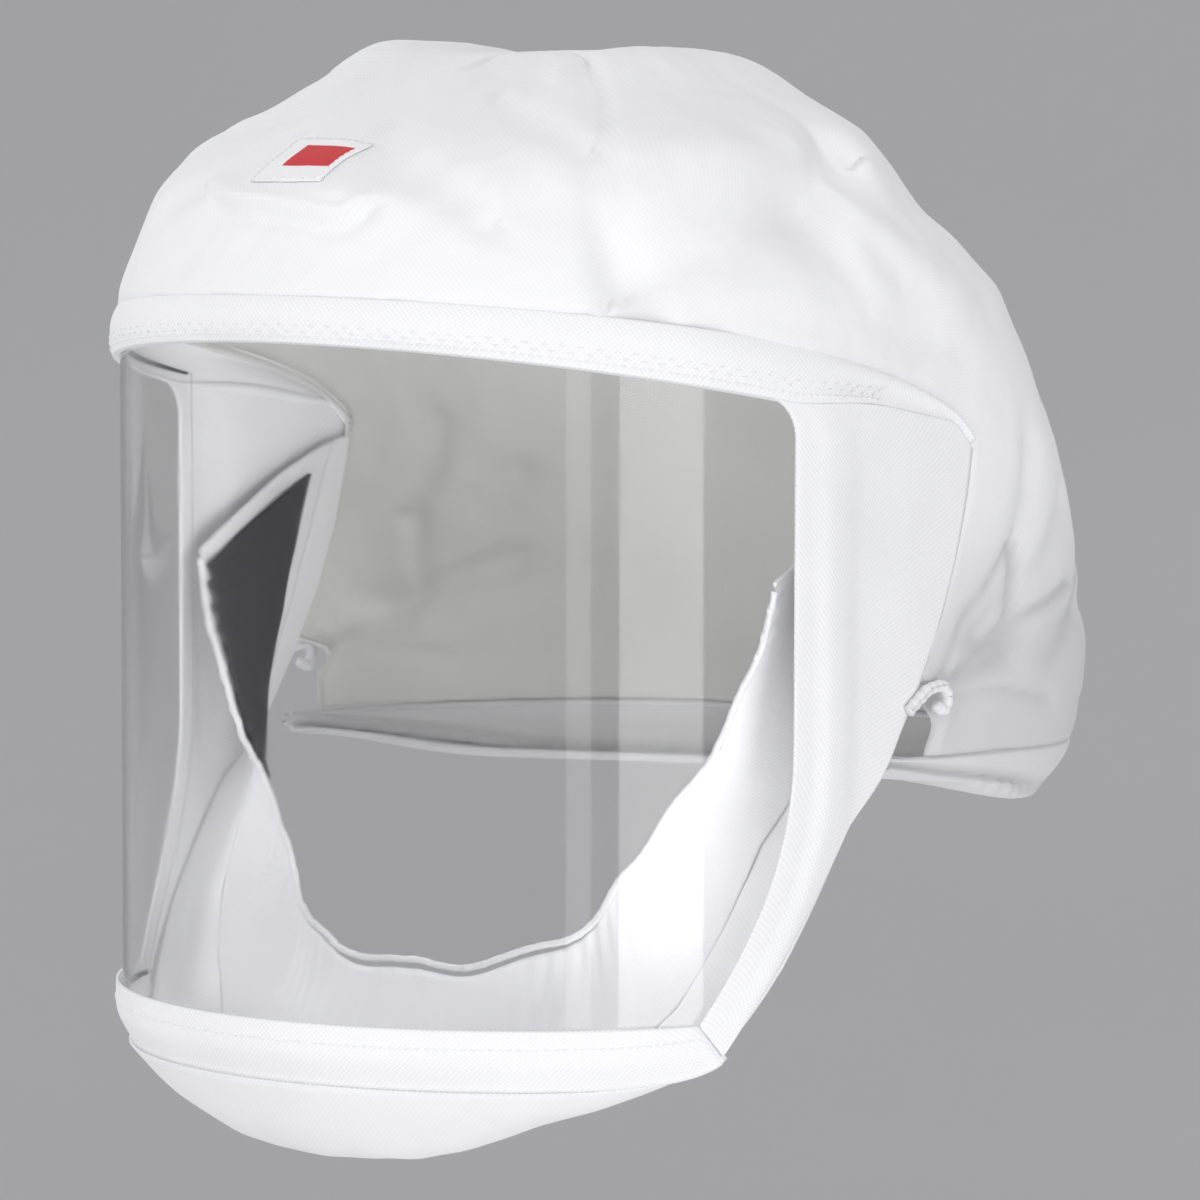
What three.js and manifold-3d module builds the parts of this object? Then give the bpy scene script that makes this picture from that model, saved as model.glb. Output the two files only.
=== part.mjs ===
// A loose cloth head cover for supplied-air breathing, with a wide clear visor.
// Millimetres, +Z up, the visor faces -Y and the wearer's left is +X.
// The origin is the point of the crown lining that rests on top of the head.

import * as THREE from 'three';
import { mergeVertices } from 'three/addons/utils/BufferGeometryUtils.js';
import Module from 'manifold-3d';

const wasm = await Module();
wasm.setup();

// Driving dimensions: the visor and the stiff facing cloth round it.
// Heights are measured from the lower edge of the window.
const VISOR_RADIUS = 113;
const WINDOW_HEIGHT = 177;
const WINDOW_TURN = 78.5;
const WINDOW_FOOT_TURN = 63.5;
const WINDOW_CORNER = 9;
const WINDOW_FLARE = 0.4;
const BROW_TILT = 10;
const BROW_BAND = 12;
const BROW_PROUD = 0.8;
const BROW_ARCH = 3;
const BROW_DROOP = 0.8;
const BROW_DROOP_POWER = 12;
const CHIN_BAND = 16.5;
const CHIN_ROLL = 4;
const CHIN_END_LIFT = 0.45;
const TOE_DROP = 5;
const TOE_RUN = 0.3;
const VISOR_SHEET = 1;
const VISOR_OVERLAP = 3.7;
const PANEL_LENGTH = 73;
const PANEL_CORNER = 52.5;
const PANEL_FOOT_RISE = 1;
const PANEL_HEEL = -2;
const PANEL_TOE_TURN = 67;

// Driving dimensions: the soft cloth.
const CLOTH = 1.6;
const GAP = 0.3;
const DOME_HEIGHT = 65;
const PAD_RISE = 3;
const RIDGE_RISE_LEFT = 4;
const RIDGE_RISE_RIGHT = 7.5;
const RIDGE_APART = 94;
const RIDGE_WIDTH = 28;
const BACK_REACH = 171;
const HEM_HEIGHT = 48;
const NAPE_BAND = 13;
const HEM_TURN_IN = 12;
const HEM_FALL = 14;
const HEM_UNDER = 4.5;
const NAPE_GAP = 33;
const NAPE_GAP_HEIGHT = 22;
const NAPE_GAP_LEAN = 1;
const CHIN_DROP = 25;
const SEAL_CLOTH = 1.4;
const SEAL_LEAN = 0.1;
const SEAM_GAP = 0.5;
const FACE_CLEARANCE = 7;
const FACE_HEIGHT = 105;
const CHIN_SETBACK = 50;
const CHIN_LIFT = 8;
const SEAT_BACK = 15;

// Driving dimensions: the small pieces.
const ELASTIC_RADIUS = 1.6;
const ELASTIC_REACH = 0.985;
const RUFFLES = 5;
const RUFFLE_DEPTH = 1.1;
const LABEL_WIDTH = 25;
const LABEL_LENGTH = 21;
const LABEL_SHEET = 1;
const LABEL_LEVEL = 0.53;
const LABEL_RISE = 0.52;
const LINING_SHEET = 1.2;
const KNOT_RADIUS = 4.2;
const KNOT_CORD = 2.2;
const KNOT_BACK = 3;
const KNOT_RISE = 15.5;

// Where the cheek lining starts and ends, as shares of the way along the collar.
const LINING_START = 0.8;
const LINING_END = 0.983;

// The seam between the chin panel and the face seal, as a share of the collar's depth.
const SEAM_SHARE = 0.01;

// How finely each piece is drawn.
const SEAL_COLUMNS = 60;
const SEAL_ROWS = 6;
const CHIN_ROWS = 4;
const CHIN_COLUMNS = 44;
const NAPE_COLUMNS = 40;
const CROWN_COLUMNS = 60;
const LABEL_STEPS = 4;
const KNOT_STEPS = 14;
const CORD_SEGMENTS = 6;
const PLAN_STEPS = 40;
const RIDGE_STEPS = 8;
const WINDOW_STEPS = 6;

// Shares of the half loop: where the front curve and the straight side end, where the hem band
// starts, and how far round the front the padded forehead reaches.
const FRONT_SHARE = 0.44;
const BACK_SHARE = 0.58;
const NAPE_START = 0.498;
const PAD_TURN = 0.11;

// Levels between which the padded forehead and the ridges on top rise and fade.
const PAD_START = [0.33, 0.42];
const PAD_END = [0.62, 0.8];
const RIDGE_START = [0.72, 0.95];

// How curves bend: shares of a piece's size, and powers that say how late a curve turns.
const CORNER_CUT = 0.3;
const WINDOW_CURVE = [0.3, 0.6];
const FRONT_LOOP = 1.4;
const CREASE_FALL = 0.35;
const HEM_FALL_POWER = 1.5;
const CHIN_END_POWER = 10;
const ROLL_END_POWER = 8;
const SAG_OUTER = 0.3;
const SAG_INNER = 0.05;
const CHIN_CLOTH_LEAST = 0.1;
const CHIN_CLOTH_MORE = 0.38;
const CHIN_CLOTH_POWER = 0.8;

const RAD = Math.PI / 180;
const BROW_TOP = WINDOW_HEIGHT + BROW_BAND;
const BROW_SLOPE = Math.tan(BROW_TILT * RAD);
const PANEL_FOOT = HEM_HEIGHT + PANEL_FOOT_RISE;
const FACE_HALF_WIDTH = VISOR_RADIUS - FACE_CLEARANCE;

// How far the cutting blocks reach past the cover on every side.
const CUT_REACH = 2 * VISOR_RADIUS;
const FRONT = -CUT_REACH;

const COLOURS = {
  cloth: { color: 0xf1f2f4, roughness: 0.85, metalness: 0 },
  facing: { color: 0xf6f7fa, roughness: 0.8, metalness: 0 },
  seal: { color: 0xe9ebee, roughness: 0.9, metalness: 0 },
  elastic: { color: 0xe2e4e8, roughness: 0.9, metalness: 0 },
  lining: { color: 0x45464b, roughness: 0.95, metalness: 0 },
  label: { color: 0xf8f8f8, roughness: 0.7, metalness: 0 },
  visor: { color: 0xe4e7ea, roughness: 0.06, metalness: 0, transparent: true, opacity: 0.3 },
};

// Sections of the cloth from hem to crown, one row for each height.
// level: -1 at the hem, 0 at the top of the brow band, 1 at the top of the dome
// width and front: shares of the visor radius; back: share of the back's reach
// backMid: where the back starts to curve in, a share of the side panel's length
// frontPower, backPower: how square the curve is, 2 for an ellipse
const SECTIONS = [
  { level: -1.0, width: 0.94, front: 1.0, back: 0.95, backMid: 0.66, frontPower: 2, backPower: 2.4 },
  { level: -0.93, width: 0.975, front: 1.0, back: 1.0, backMid: 0.66, frontPower: 2, backPower: 2.4 },
  { level: -0.85, width: 0.99, front: 1.0, back: 1.03, backMid: 0.68, frontPower: 2, backPower: 2.4 },
  { level: -0.74, width: 1.0, front: 1.0, back: 1.045, backMid: 0.69, frontPower: 2, backPower: 2.4 },
  { level: -0.55, width: 1.0, front: 1.0, back: 1.025, backMid: 0.69, frontPower: 2, backPower: 2.35 },
  { level: -0.35, width: 1.0, front: 1.0, back: 0.955, backMid: 0.68, frontPower: 2, backPower: 2.3 },
  { level: -0.18, width: 1.0, front: 1.0, back: 0.865, backMid: 0.64, frontPower: 2, backPower: 2.2 },
  { level: 0.0, width: 0.985, front: 0.985, back: 0.75, backMid: 0.56, frontPower: 2, backPower: 2.1 },
  { level: 0.2, width: 0.94, front: 0.94, back: 0.645, backMid: 0.45, frontPower: 2.05, backPower: 2.1 },
  { level: 0.34, width: 0.895, front: 0.905, back: 0.595, backMid: 0.35, frontPower: 2.1, backPower: 2 },
  { level: 0.41, width: 0.875, front: 0.87, back: 0.565, backMid: 0.33, frontPower: 2.15, backPower: 2 },
  { level: 0.52, width: 0.85, front: 0.78, back: 0.52, backMid: 0.3, frontPower: 2.2, backPower: 2 },
  { level: 0.64, width: 0.8, front: 0.64, back: 0.48, backMid: 0.27, frontPower: 2.4, backPower: 2 },
  { level: 0.75, width: 0.69, front: 0.5, back: 0.45, backMid: 0.25, frontPower: 2.4, backPower: 2 },
  { level: 0.86, width: 0.53, front: 0.34, back: 0.42, backMid: 0.22, frontPower: 2.3, backPower: 2 },
  { level: 0.94, width: 0.4, front: 0.21, back: 0.34, backMid: 0.2, frontPower: 2.2, backPower: 2 },
  { level: 0.985, width: 0.24, front: 0.1, back: 0.2, backMid: 0.18, frontPower: 2, backPower: 2 },
];

// Soft folds of the cloth, one row each, as a line from one place to another.
// turn: from 0 at the middle of the front to 1 at the middle of the back; level as above
// depth: share of FOLD_DEPTH, inwards where positive; width: share of FOLD_WIDTH
// side: 1 the wearer's left, -1 the right, 0 both
const FOLD_DEPTH = 5;
const FOLD_WIDTH = 12;
const FOLDS = [
  { turn: [0.28, 0.43], level: [0.04, 0.27], depth: 0.8, width: 0.9, side: 0 },
  { turn: [0.43, 0.56], level: [0.27, 0.56], depth: 0.9, width: 1.1, side: 0 },
  { turn: [0.53, 0.58], level: [0.3, 0.0], depth: -0.6, width: 1.0, side: 0 },
  { turn: [0.26, 0.22], level: [0.1, 0.88], depth: 0.5, width: 0.6, side: 0 },
  { turn: [0.1, 0.2], level: [0.62, 0.36], depth: 0.6, width: 0.8, side: 1 },
  { turn: [0.07, 0.13], level: [0.5, 0.72], depth: 0.5, width: 0.9, side: -1 },
  { turn: [0.6, 0.72], level: [-0.66, -0.42], depth: 0.55, width: 0.45, side: 0 },
  { turn: [0.6, 0.66], level: [-0.66, -0.3], depth: 0.5, width: 0.45, side: 0 },
  { turn: [0.6, 0.8], level: [-0.68, -0.62], depth: 0.4, width: 0.5, side: 0 },
  { turn: [0.8, 1.0], level: [-0.5, -0.3], depth: 0.5, width: 1.0, side: 0 },
];

// The brow band's lower edge behind the window: share of the way to the panel's corner,
// and how far below the band's top, as a share of the band's height.
const BROW_FOOT = [
  { share: 0.3, drop: 0.62 },
  { share: 0.8, drop: 0.6 },
  { share: 1, drop: 1.1 },
];

// The side panel's back edge: share of the way from heel to corner, and share of the rise.
const PANEL_BACK = [
  { share: 0, rise: 0 },
  { share: 0.28, rise: 0.131 },
  { share: 0.42, rise: 0.243 },
  { share: 0.53, rise: 0.333 },
  { share: 0.745, rise: 0.542 },
  { share: 0.875, rise: 0.719 },
  { share: 0.965, rise: 0.896 },
  { share: 1, rise: 1 },
];

// The chin band's profile from its top: share of its height and of its roll.
const CHIN_PROFILE = [
  { drop: 0, roll: 0 },
  { drop: 0.42, roll: 0 },
  { drop: 0.8, roll: 0.3 },
  { drop: 1, roll: 1 },
];

// The nape band's profile from its crease: mix down to the hem, then shares of the turn-in
// and of the drop under the hem.
const NAPE_PROFILE = [
  { mix: 0, tuck: 0, under: 0 },
  { mix: 0.5, tuck: 0, under: 0 },
  { mix: 1, tuck: 0.04, under: 0 },
  { mix: 1, tuck: 0.4, under: 1 },
  { mix: 1, tuck: 1, under: 0.6 },
];

// The route of the neck elastic's rolled end in side view, in shares of its ring's size.
const KNOT_ROUTE = [
  { along: -3.4, up: -0.6 },
  { along: -2.3, up: 0.1 },
  { along: -1.1, up: 0.7 },
  { along: 0, up: 0.8 },
  { along: 0.75, up: 0.1 },
  { along: 0.3, up: -0.75 },
  { along: -0.5, up: -0.5 },
];

// Stations of the inner collar from the chin, one row each, up to the temple.
// Outer end: turn in degrees round the chin band, or run along the side panel's lower edge.
// Inner end at the face opening, as shares of its half width, of its setback and of its height.
// sagOut, sagIn: how far the cloth hangs at each end, as shares of the chin's drop
const SEAL_STATIONS = [
  { turn: 0, run: 0, across: 0.0, back: 1.0, rise: 0.0, sagOut: 1.45, sagIn: 2.3 },
  { turn: 16, run: 0, across: 0.2, back: 0.97, rise: 0.015, sagOut: 1.35, sagIn: 2.2 },
  { turn: 32, run: 0, across: 0.38, back: 0.85, rise: 0.06, sagOut: 1.1, sagIn: 1.9 },
  { turn: 48, run: 0, across: 0.5, back: 0.7, rise: 0.14, sagOut: 0.75, sagIn: 1.35 },
  { turn: 63.5, run: 0, across: 0.575, back: 0.62, rise: 0.26, sagOut: 0.25, sagIn: 0.7 },
  { turn: 68, run: 0.12, across: 0.66, back: 0.56, rise: 0.38, sagOut: 0.05, sagIn: 0.45 },
  { turn: 90, run: 0.34, across: 0.77, back: 0.52, rise: 0.52, sagOut: 0, sagIn: 0.3 },
  { turn: 90, run: 0.56, across: 0.86, back: 0.48, rise: 0.68, sagOut: 0, sagIn: 0.15 },
  { turn: 90, run: 0.76, across: 0.93, back: 0.45, rise: 0.84, sagOut: 0, sagIn: 0.05 },
  { turn: 90, run: 0.97, across: 0.975, back: 0.42, rise: 1.0, sagOut: 0, sagIn: 0 },
];

function material(name) {
  return new THREE.MeshStandardMaterial({ ...COLOURS[name], side: THREE.DoubleSide });
}

// Linear reading of a table at a place between its rows.
function readTable(rows, column, key, at) {
  let i = 0;
  while (i < rows.length - 2 && rows[i + 1][key] < at) {
    i += 1;
  }
  const span = rows[i + 1][key] - rows[i][key];
  const share = THREE.MathUtils.clamp((at - rows[i][key]) / span, 0, 1);
  return THREE.MathUtils.lerp(rows[i][column], rows[i + 1][column], share);
}

// The height of a level of the section table.
function levelHeight(level) {
  return level < 0 ? BROW_TOP + level * (BROW_TOP - HEM_HEIGHT) : BROW_TOP + level * DOME_HEIGHT;
}

// How deep the folds press into the cloth at a place.
function foldDepth(turn, level, side) {
  const loop = BACK_REACH + VISOR_RADIUS * FRONT_LOOP;
  let depth = 0;
  for (const fold of FOLDS) {
    if (fold.side !== 0 && fold.side !== side) {
      continue;
    }
    const ax = fold.turn[0] * loop;
    const az = levelHeight(fold.level[0]);
    const bx = fold.turn[1] * loop - ax;
    const bz = levelHeight(fold.level[1]) - az;
    const px = turn * loop - ax;
    const pz = levelHeight(level) - az;
    const along = (px * bx + pz * bz) / (bx * bx + bz * bz);
    const near = THREE.MathUtils.clamp(along, 0, 1);
    const away = Math.hypot(px - near * bx, pz - near * bz) / (fold.width * FOLD_WIDTH);
    depth += fold.depth * FOLD_DEPTH * Math.exp(-away * away);
  }
  return depth;
}

// A point of the cloth's outer face. turn runs from -1 to 1, with 0 at the front and +-1 at the back.
function clothPoint(turn, level) {
  const row = {};
  for (const column of ['width', 'front', 'back', 'backMid', 'frontPower', 'backPower']) {
    row[column] = readTable(SECTIONS, column, 'level', level);
  }
  const side = turn < 0 ? -1 : 1;
  const share = Math.abs(turn);
  const halfWidth = row.width * VISOR_RADIUS;
  const backMid = row.backMid * PANEL_LENGTH;
  let x = halfWidth;
  let y = 0;
  if (share <= FRONT_SHARE) {
    const angle = (share / FRONT_SHARE) * 90 * RAD;
    x = halfWidth * Math.sin(angle) ** (2 / row.frontPower);
    y = -row.front * VISOR_RADIUS * Math.max(Math.cos(angle), 0) ** (2 / row.frontPower);
  } else if (share < BACK_SHARE) {
    y = backMid * ((share - FRONT_SHARE) / (BACK_SHARE - FRONT_SHARE));
  } else {
    const angle = ((share - BACK_SHARE) / (1 - BACK_SHARE)) * 90 * RAD;
    x = halfWidth * Math.max(Math.cos(angle), 0) ** (2 / row.backPower);
    y = backMid + (row.back * BACK_REACH - backMid) * Math.sin(angle) ** (2 / row.backPower);
  }
  const centre = new THREE.Vector2(0, backMid / 2);
  const out = new THREE.Vector2(x, y).sub(centre).normalize();
  const press = foldDepth(share, level, side) * Math.min(1, row.width * 2);
  x = Math.max(0, x - out.x * press);
  y -= out.y * press;
  const pad = PAD_RISE * THREE.MathUtils.smoothstep(level, ...PAD_START)
    * (1 - THREE.MathUtils.smoothstep(level, ...PAD_END))
    * (1 - THREE.MathUtils.smoothstep(share, PAD_TURN * 0.7, PAD_TURN));
  y -= pad;
  const apart = (2 * x - RIDGE_APART) / RIDGE_WIDTH;
  const rise = side > 0 ? RIDGE_RISE_LEFT : RIDGE_RISE_RIGHT;
  const lift = rise * Math.exp(-apart * apart) * THREE.MathUtils.smoothstep(level, ...RIDGE_START);
  return new THREE.Vector3(side * x, y, levelHeight(level) + lift);
}

// The normal of a grid of points at one of them.
function gridNormal(rows, r, c, closedLoop) {
  const count = rows[0].length;
  const left = closedLoop ? (c + count - 1) % count : Math.max(c - 1, 0);
  const right = closedLoop ? (c + 1) % count : Math.min(c + 1, count - 1);
  const along = new THREE.Vector3().subVectors(rows[r][right], rows[r][left]);
  const up = new THREE.Vector3().subVectors(
    rows[Math.min(r + 1, rows.length - 1)][c], rows[Math.max(r - 1, 0)][c]);
  return new THREE.Vector3().crossVectors(along, up).normalize();
}

// A closed solid from a grid of points: rows of equal length, given the wall's thickness inwards.
function sheetSolid(rows, thickness, closedLoop) {
  const rowCount = rows.length;
  const columnCount = rows[0].length;
  const normals = rows.map((row, r) => row.map((_, c) => gridNormal(rows, r, c, closedLoop)));
  const positions = [];
  const index = [];
  for (const side of [0, 1]) {
    rows.forEach((row, r) => row.forEach((point, c) => {
      const place = point.clone().addScaledVector(normals[r][c], -side * thickness);
      positions.push(place.x, place.y, place.z);
    }));
  }
  const id = (side, r, c) => (side * rowCount + r) * columnCount + (c % columnCount);
  const quad = (a, b, c, d) => index.push(a, b, c, a, c, d);
  const lastColumn = closedLoop ? columnCount : columnCount - 1;
  for (let r = 0; r < rowCount - 1; r += 1) {
    for (let c = 0; c < lastColumn; c += 1) {
      quad(id(0, r, c), id(0, r, c + 1), id(0, r + 1, c + 1), id(0, r + 1, c));
      quad(id(1, r + 1, c), id(1, r + 1, c + 1), id(1, r, c + 1), id(1, r, c));
    }
  }
  for (let c = 0; c < lastColumn; c += 1) {
    quad(id(1, 0, c), id(1, 0, c + 1), id(0, 0, c + 1), id(0, 0, c));
    quad(id(0, rowCount - 1, c), id(0, rowCount - 1, c + 1),
      id(1, rowCount - 1, c + 1), id(1, rowCount - 1, c));
  }
  if (!closedLoop) {
    for (let r = 0; r < rowCount - 1; r += 1) {
      quad(id(0, r, 0), id(0, r + 1, 0), id(1, r + 1, 0), id(1, r, 0));
      quad(id(1, r, columnCount - 1), id(1, r + 1, columnCount - 1),
        id(0, r + 1, columnCount - 1), id(0, r, columnCount - 1));
    }
  }
  const geometry = new THREE.BufferGeometry();
  geometry.setAttribute('position', new THREE.Float32BufferAttribute(positions, 3));
  geometry.setIndex(index);
  return geometry;
}

// A closed dome solid from loops of points that end in one top point.
function domeSolid(loops, top, floor) {
  const columnCount = loops[0].length;
  const positions = [];
  const index = [];
  for (const loop of loops) {
    for (const point of loop) {
      positions.push(point.x, point.y, point.z);
    }
  }
  positions.push(top.x, top.y, top.z, floor.x, floor.y, floor.z);
  const topId = loops.length * columnCount;
  for (let r = 0; r < loops.length - 1; r += 1) {
    for (let c = 0; c < columnCount; c += 1) {
      const next = (c + 1) % columnCount;
      const a = r * columnCount + c;
      const b = r * columnCount + next;
      index.push(a, b, b + columnCount, a, b + columnCount, a + columnCount);
    }
  }
  for (let c = 0; c < columnCount; c += 1) {
    const next = (c + 1) % columnCount;
    const last = (loops.length - 1) * columnCount;
    index.push(last + c, last + next, topId);
    index.push(next, c, topId + 1);
  }
  const geometry = new THREE.BufferGeometry();
  geometry.setAttribute('position', new THREE.Float32BufferAttribute(positions, 3));
  geometry.setIndex(index);
  return geometry;
}

function toManifold(geometry) {
  const bare = geometry.clone();
  for (const name of Object.keys(bare.attributes)) {
    if (name !== 'position') {
      bare.deleteAttribute(name);
    }
  }
  const merged = mergeVertices(bare, 1e-4);
  return new wasm.Manifold(new wasm.Mesh({
    numProp: 3,
    vertProperties: new Float32Array(merged.attributes.position.array),
    triVerts: new Uint32Array(merged.index.array),
  }));
}

function toGeometry(solid) {
  const mesh = solid.getMesh();
  const geometry = new THREE.BufferGeometry();
  geometry.setAttribute('position', new THREE.BufferAttribute(new Float32Array(mesh.vertProperties), 3));
  geometry.setIndex(new THREE.BufferAttribute(new Uint32Array(mesh.triVerts), 1));
  return geometry;
}

// The half width of the facing at a distance behind the visor's centre line.
function planHalfWidth(y, inset) {
  const radius = VISOR_RADIUS - inset;
  return y < 0 ? Math.sqrt(Math.max(radius * radius - y * y, 0)) : radius;
}

// A wall that follows the visor's plan, from foot to top, between two insets from the facing's face.
function planWall(outerInset, innerInset, foot, top) {
  const reach = PANEL_LENGTH + VISOR_OVERLAP;
  const outline = (inset) => {
    const points = [new THREE.Vector2(-(VISOR_RADIUS - inset), reach)];
    for (let i = 0; i <= PLAN_STEPS; i += 1) {
      const turn = (-90 + (180 * i) / PLAN_STEPS) * RAD;
      points.push(new THREE.Vector2(
        (VISOR_RADIUS - inset) * Math.sin(turn), -(VISOR_RADIUS - inset) * Math.cos(turn)));
    }
    points.push(new THREE.Vector2(VISOR_RADIUS - inset, reach));
    return points;
  };
  const shape = new THREE.Shape([...outline(outerInset), ...outline(innerInset).reverse()]);
  const geometry = new THREE.ExtrudeGeometry(shape, { depth: top - foot, bevelEnabled: false });
  geometry.translate(0, 0, foot);
  return toManifold(geometry);
}

// A block that fills an outline drawn in side view, (y, z), across the whole width.
function sideBlock(points, fromX, toX) {
  const shape = new THREE.Shape(points.map(([y, z]) => new THREE.Vector2(y, z)));
  const geometry = new THREE.ExtrudeGeometry(shape, { depth: toX - fromX, bevelEnabled: false });
  geometry.applyMatrix4(new THREE.Matrix4().makeBasis(
    new THREE.Vector3(0, 1, 0), new THREE.Vector3(0, 0, 1), new THREE.Vector3(1, 0, 0)));
  geometry.translate(fromX, 0, 0);
  return toManifold(geometry);
}

// How far behind the visor's centre line a turn round the visor's plan lies.
function sideY(turn) {
  return -VISOR_RADIUS * Math.cos(turn * RAD);
}

// Height of a line that runs with the brow's tilt, from its height at the middle of the front.
function browLine(height, y) {
  return height - BROW_SLOPE * (y + VISOR_RADIUS);
}

// The top edge of the brow band in side view, from the front back to the side panel's corner.
function browRidge(gap) {
  const points = [[FRONT, browLine(BROW_TOP, FRONT) + gap]];
  for (let i = 0; i <= RIDGE_STEPS; i += 1) {
    const share = i / RIDGE_STEPS;
    const y = THREE.MathUtils.lerp(-VISOR_RADIUS, PANEL_CORNER, share);
    const arch = BROW_ARCH * Math.sin(Math.PI * share);
    const droop = BROW_BAND * BROW_DROOP * share ** BROW_DROOP_POWER;
    points.push([y, browLine(BROW_TOP, y) + arch - droop + gap]);
  }
  return points;
}

// The lower edge of the brow band in side view, behind the window's corner.
function browFoot(gap) {
  const corner = [sideY(WINDOW_TURN), browLine(WINDOW_HEIGHT, sideY(WINDOW_TURN)) - gap];
  return [corner, ...BROW_FOOT.map(({ share, drop }) => {
    const y = PANEL_CORNER * share;
    return [y, browLine(BROW_TOP - BROW_BAND * drop, y) - gap];
  })];
}

// The window's outline in side view, from its foot corner up to the brow, grown by a margin.
function windowSide(margin) {
  const foot = sideY(WINDOW_FOOT_TURN);
  const side = sideY(WINDOW_TURN) + margin;
  const curve = new THREE.CubicBezierCurve(
    new THREE.Vector2(foot + margin, -margin),
    new THREE.Vector2((foot + side + margin) / 2, WINDOW_HEIGHT * WINDOW_FLARE * WINDOW_CURVE[0]),
    new THREE.Vector2(side, WINDOW_HEIGHT * WINDOW_FLARE * WINDOW_CURVE[1]),
    new THREE.Vector2(side, WINDOW_HEIGHT * WINDOW_FLARE),
  );
  const cornerZ = browLine(WINDOW_HEIGHT, side - margin) + margin;
  const points = curve.getPoints(WINDOW_STEPS).map((point) => [point.x, point.y]);
  points.push([side, cornerZ - WINDOW_CORNER]);
  points.push([side - WINDOW_CORNER * CORNER_CUT, cornerZ - WINDOW_CORNER * CORNER_CUT]);
  points.push([side - WINDOW_CORNER, browLine(WINDOW_HEIGHT, side - margin - WINDOW_CORNER) + margin]);
  return points;
}

// The side panel's back edge in side view, from its lower heel up to the corner under the brow band.
function panelBack(offset) {
  const top = browFoot(GAP).pop()[1];
  return PANEL_BACK.map(({ share, rise }) => [
    THREE.MathUtils.lerp(PANEL_HEEL, PANEL_CORNER, share) + offset,
    THREE.MathUtils.lerp(PANEL_FOOT, top, rise),
  ]);
}

// How far behind the visor's centre line the side panel's back edge lies at a height.
function panelBackAt(z) {
  const rows = panelBack(0).map(([y, height]) => ({ y, height }));
  return readTable(rows, 'y', 'height', z);
}

// The lowest point of the side panel in side view.
const TOE = [sideY(PANEL_TOE_TURN), -CHIN_BAND / 2];

// The clear visor: a thin curved sheet just inside the facing.
function visorSheet() {
  const inset = CLOTH + GAP;
  const wall = planWall(inset, inset + VISOR_SHEET, -VISOR_OVERLAP, BROW_TOP);
  const outline = [[FRONT, -VISOR_OVERLAP], ...windowSide(VISOR_OVERLAP),
    [FRONT, browLine(WINDOW_HEIGHT, FRONT) + VISOR_OVERLAP]];
  return wall.intersect(sideBlock(outline, -CUT_REACH, CUT_REACH));
}

// The band over the window, a little proud of the cloth above, narrowing behind the temples.
function browBand() {
  const wall = planWall(-BROW_PROUD, CLOTH, 0, BROW_TOP + BROW_BAND);
  const outline = [
    [FRONT, browLine(WINDOW_HEIGHT, FRONT)],
    ...browFoot(0),
    ...browRidge(0).reverse(),
  ];
  return wall.intersect(sideBlock(outline, -CUT_REACH, CUT_REACH));
}

// The cloth panel beside the window, on one side: 1 the wearer's left, -1 the right.
function sidePanel(side) {
  const wall = planWall(0, CLOTH, -CHIN_BAND, BROW_TOP);
  const front = windowSide(0);
  const last = front[front.length - 1];
  last[1] -= GAP;
  const outline = [
    [front[0][0] + GAP, 0],
    TOE,
    ...panelBack(0).slice(0, -1),
    ...browFoot(GAP).reverse(),
    ...front.slice(1).reverse(),
  ];
  const block = side > 0 ? sideBlock(outline, 0, CUT_REACH) : sideBlock(outline, -CUT_REACH, 0);
  return wall.intersect(block);
}

// The band under the window, from one lower corner to the other, rolled in at its lower edge.
function chinBand() {
  const rows = CHIN_PROFILE.map(({ drop, roll }) => {
    const row = [];
    for (let c = 0; c <= CHIN_COLUMNS; c += 1) {
      const around = -1 + (2 * c) / CHIN_COLUMNS;
      const z = -chinDepth(around) * drop;
      const angle = around * chinEnd(z);
      const radius = VISOR_RADIUS - roll * CHIN_ROLL * (1 - Math.abs(around) ** ROLL_END_POWER);
      row.push(new THREE.Vector3(radius * Math.sin(angle), -radius * Math.cos(angle), z));
    }
    return row;
  });
  return sheetSolid(rows.reverse(), CLOTH, false);
}

// How far the chin band reaches down, less at its rounded ends.
function chinDepth(around) {
  return CHIN_BAND * (1 - CHIN_END_LIFT * Math.abs(around) ** CHIN_END_POWER);
}

// The turn, in radians, where the chin band meets the side panel at a height.
function chinEnd(z) {
  const foot = -VISOR_RADIUS * Math.cos(WINDOW_FOOT_TURN * RAD);
  const y = THREE.MathUtils.lerp(foot, TOE[0], z / TOE[1]) - 2 * GAP
    - CLOTH * Math.cos(WINDOW_FOOT_TURN * RAD);
  return Math.acos(-y / VISOR_RADIUS);
}

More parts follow.
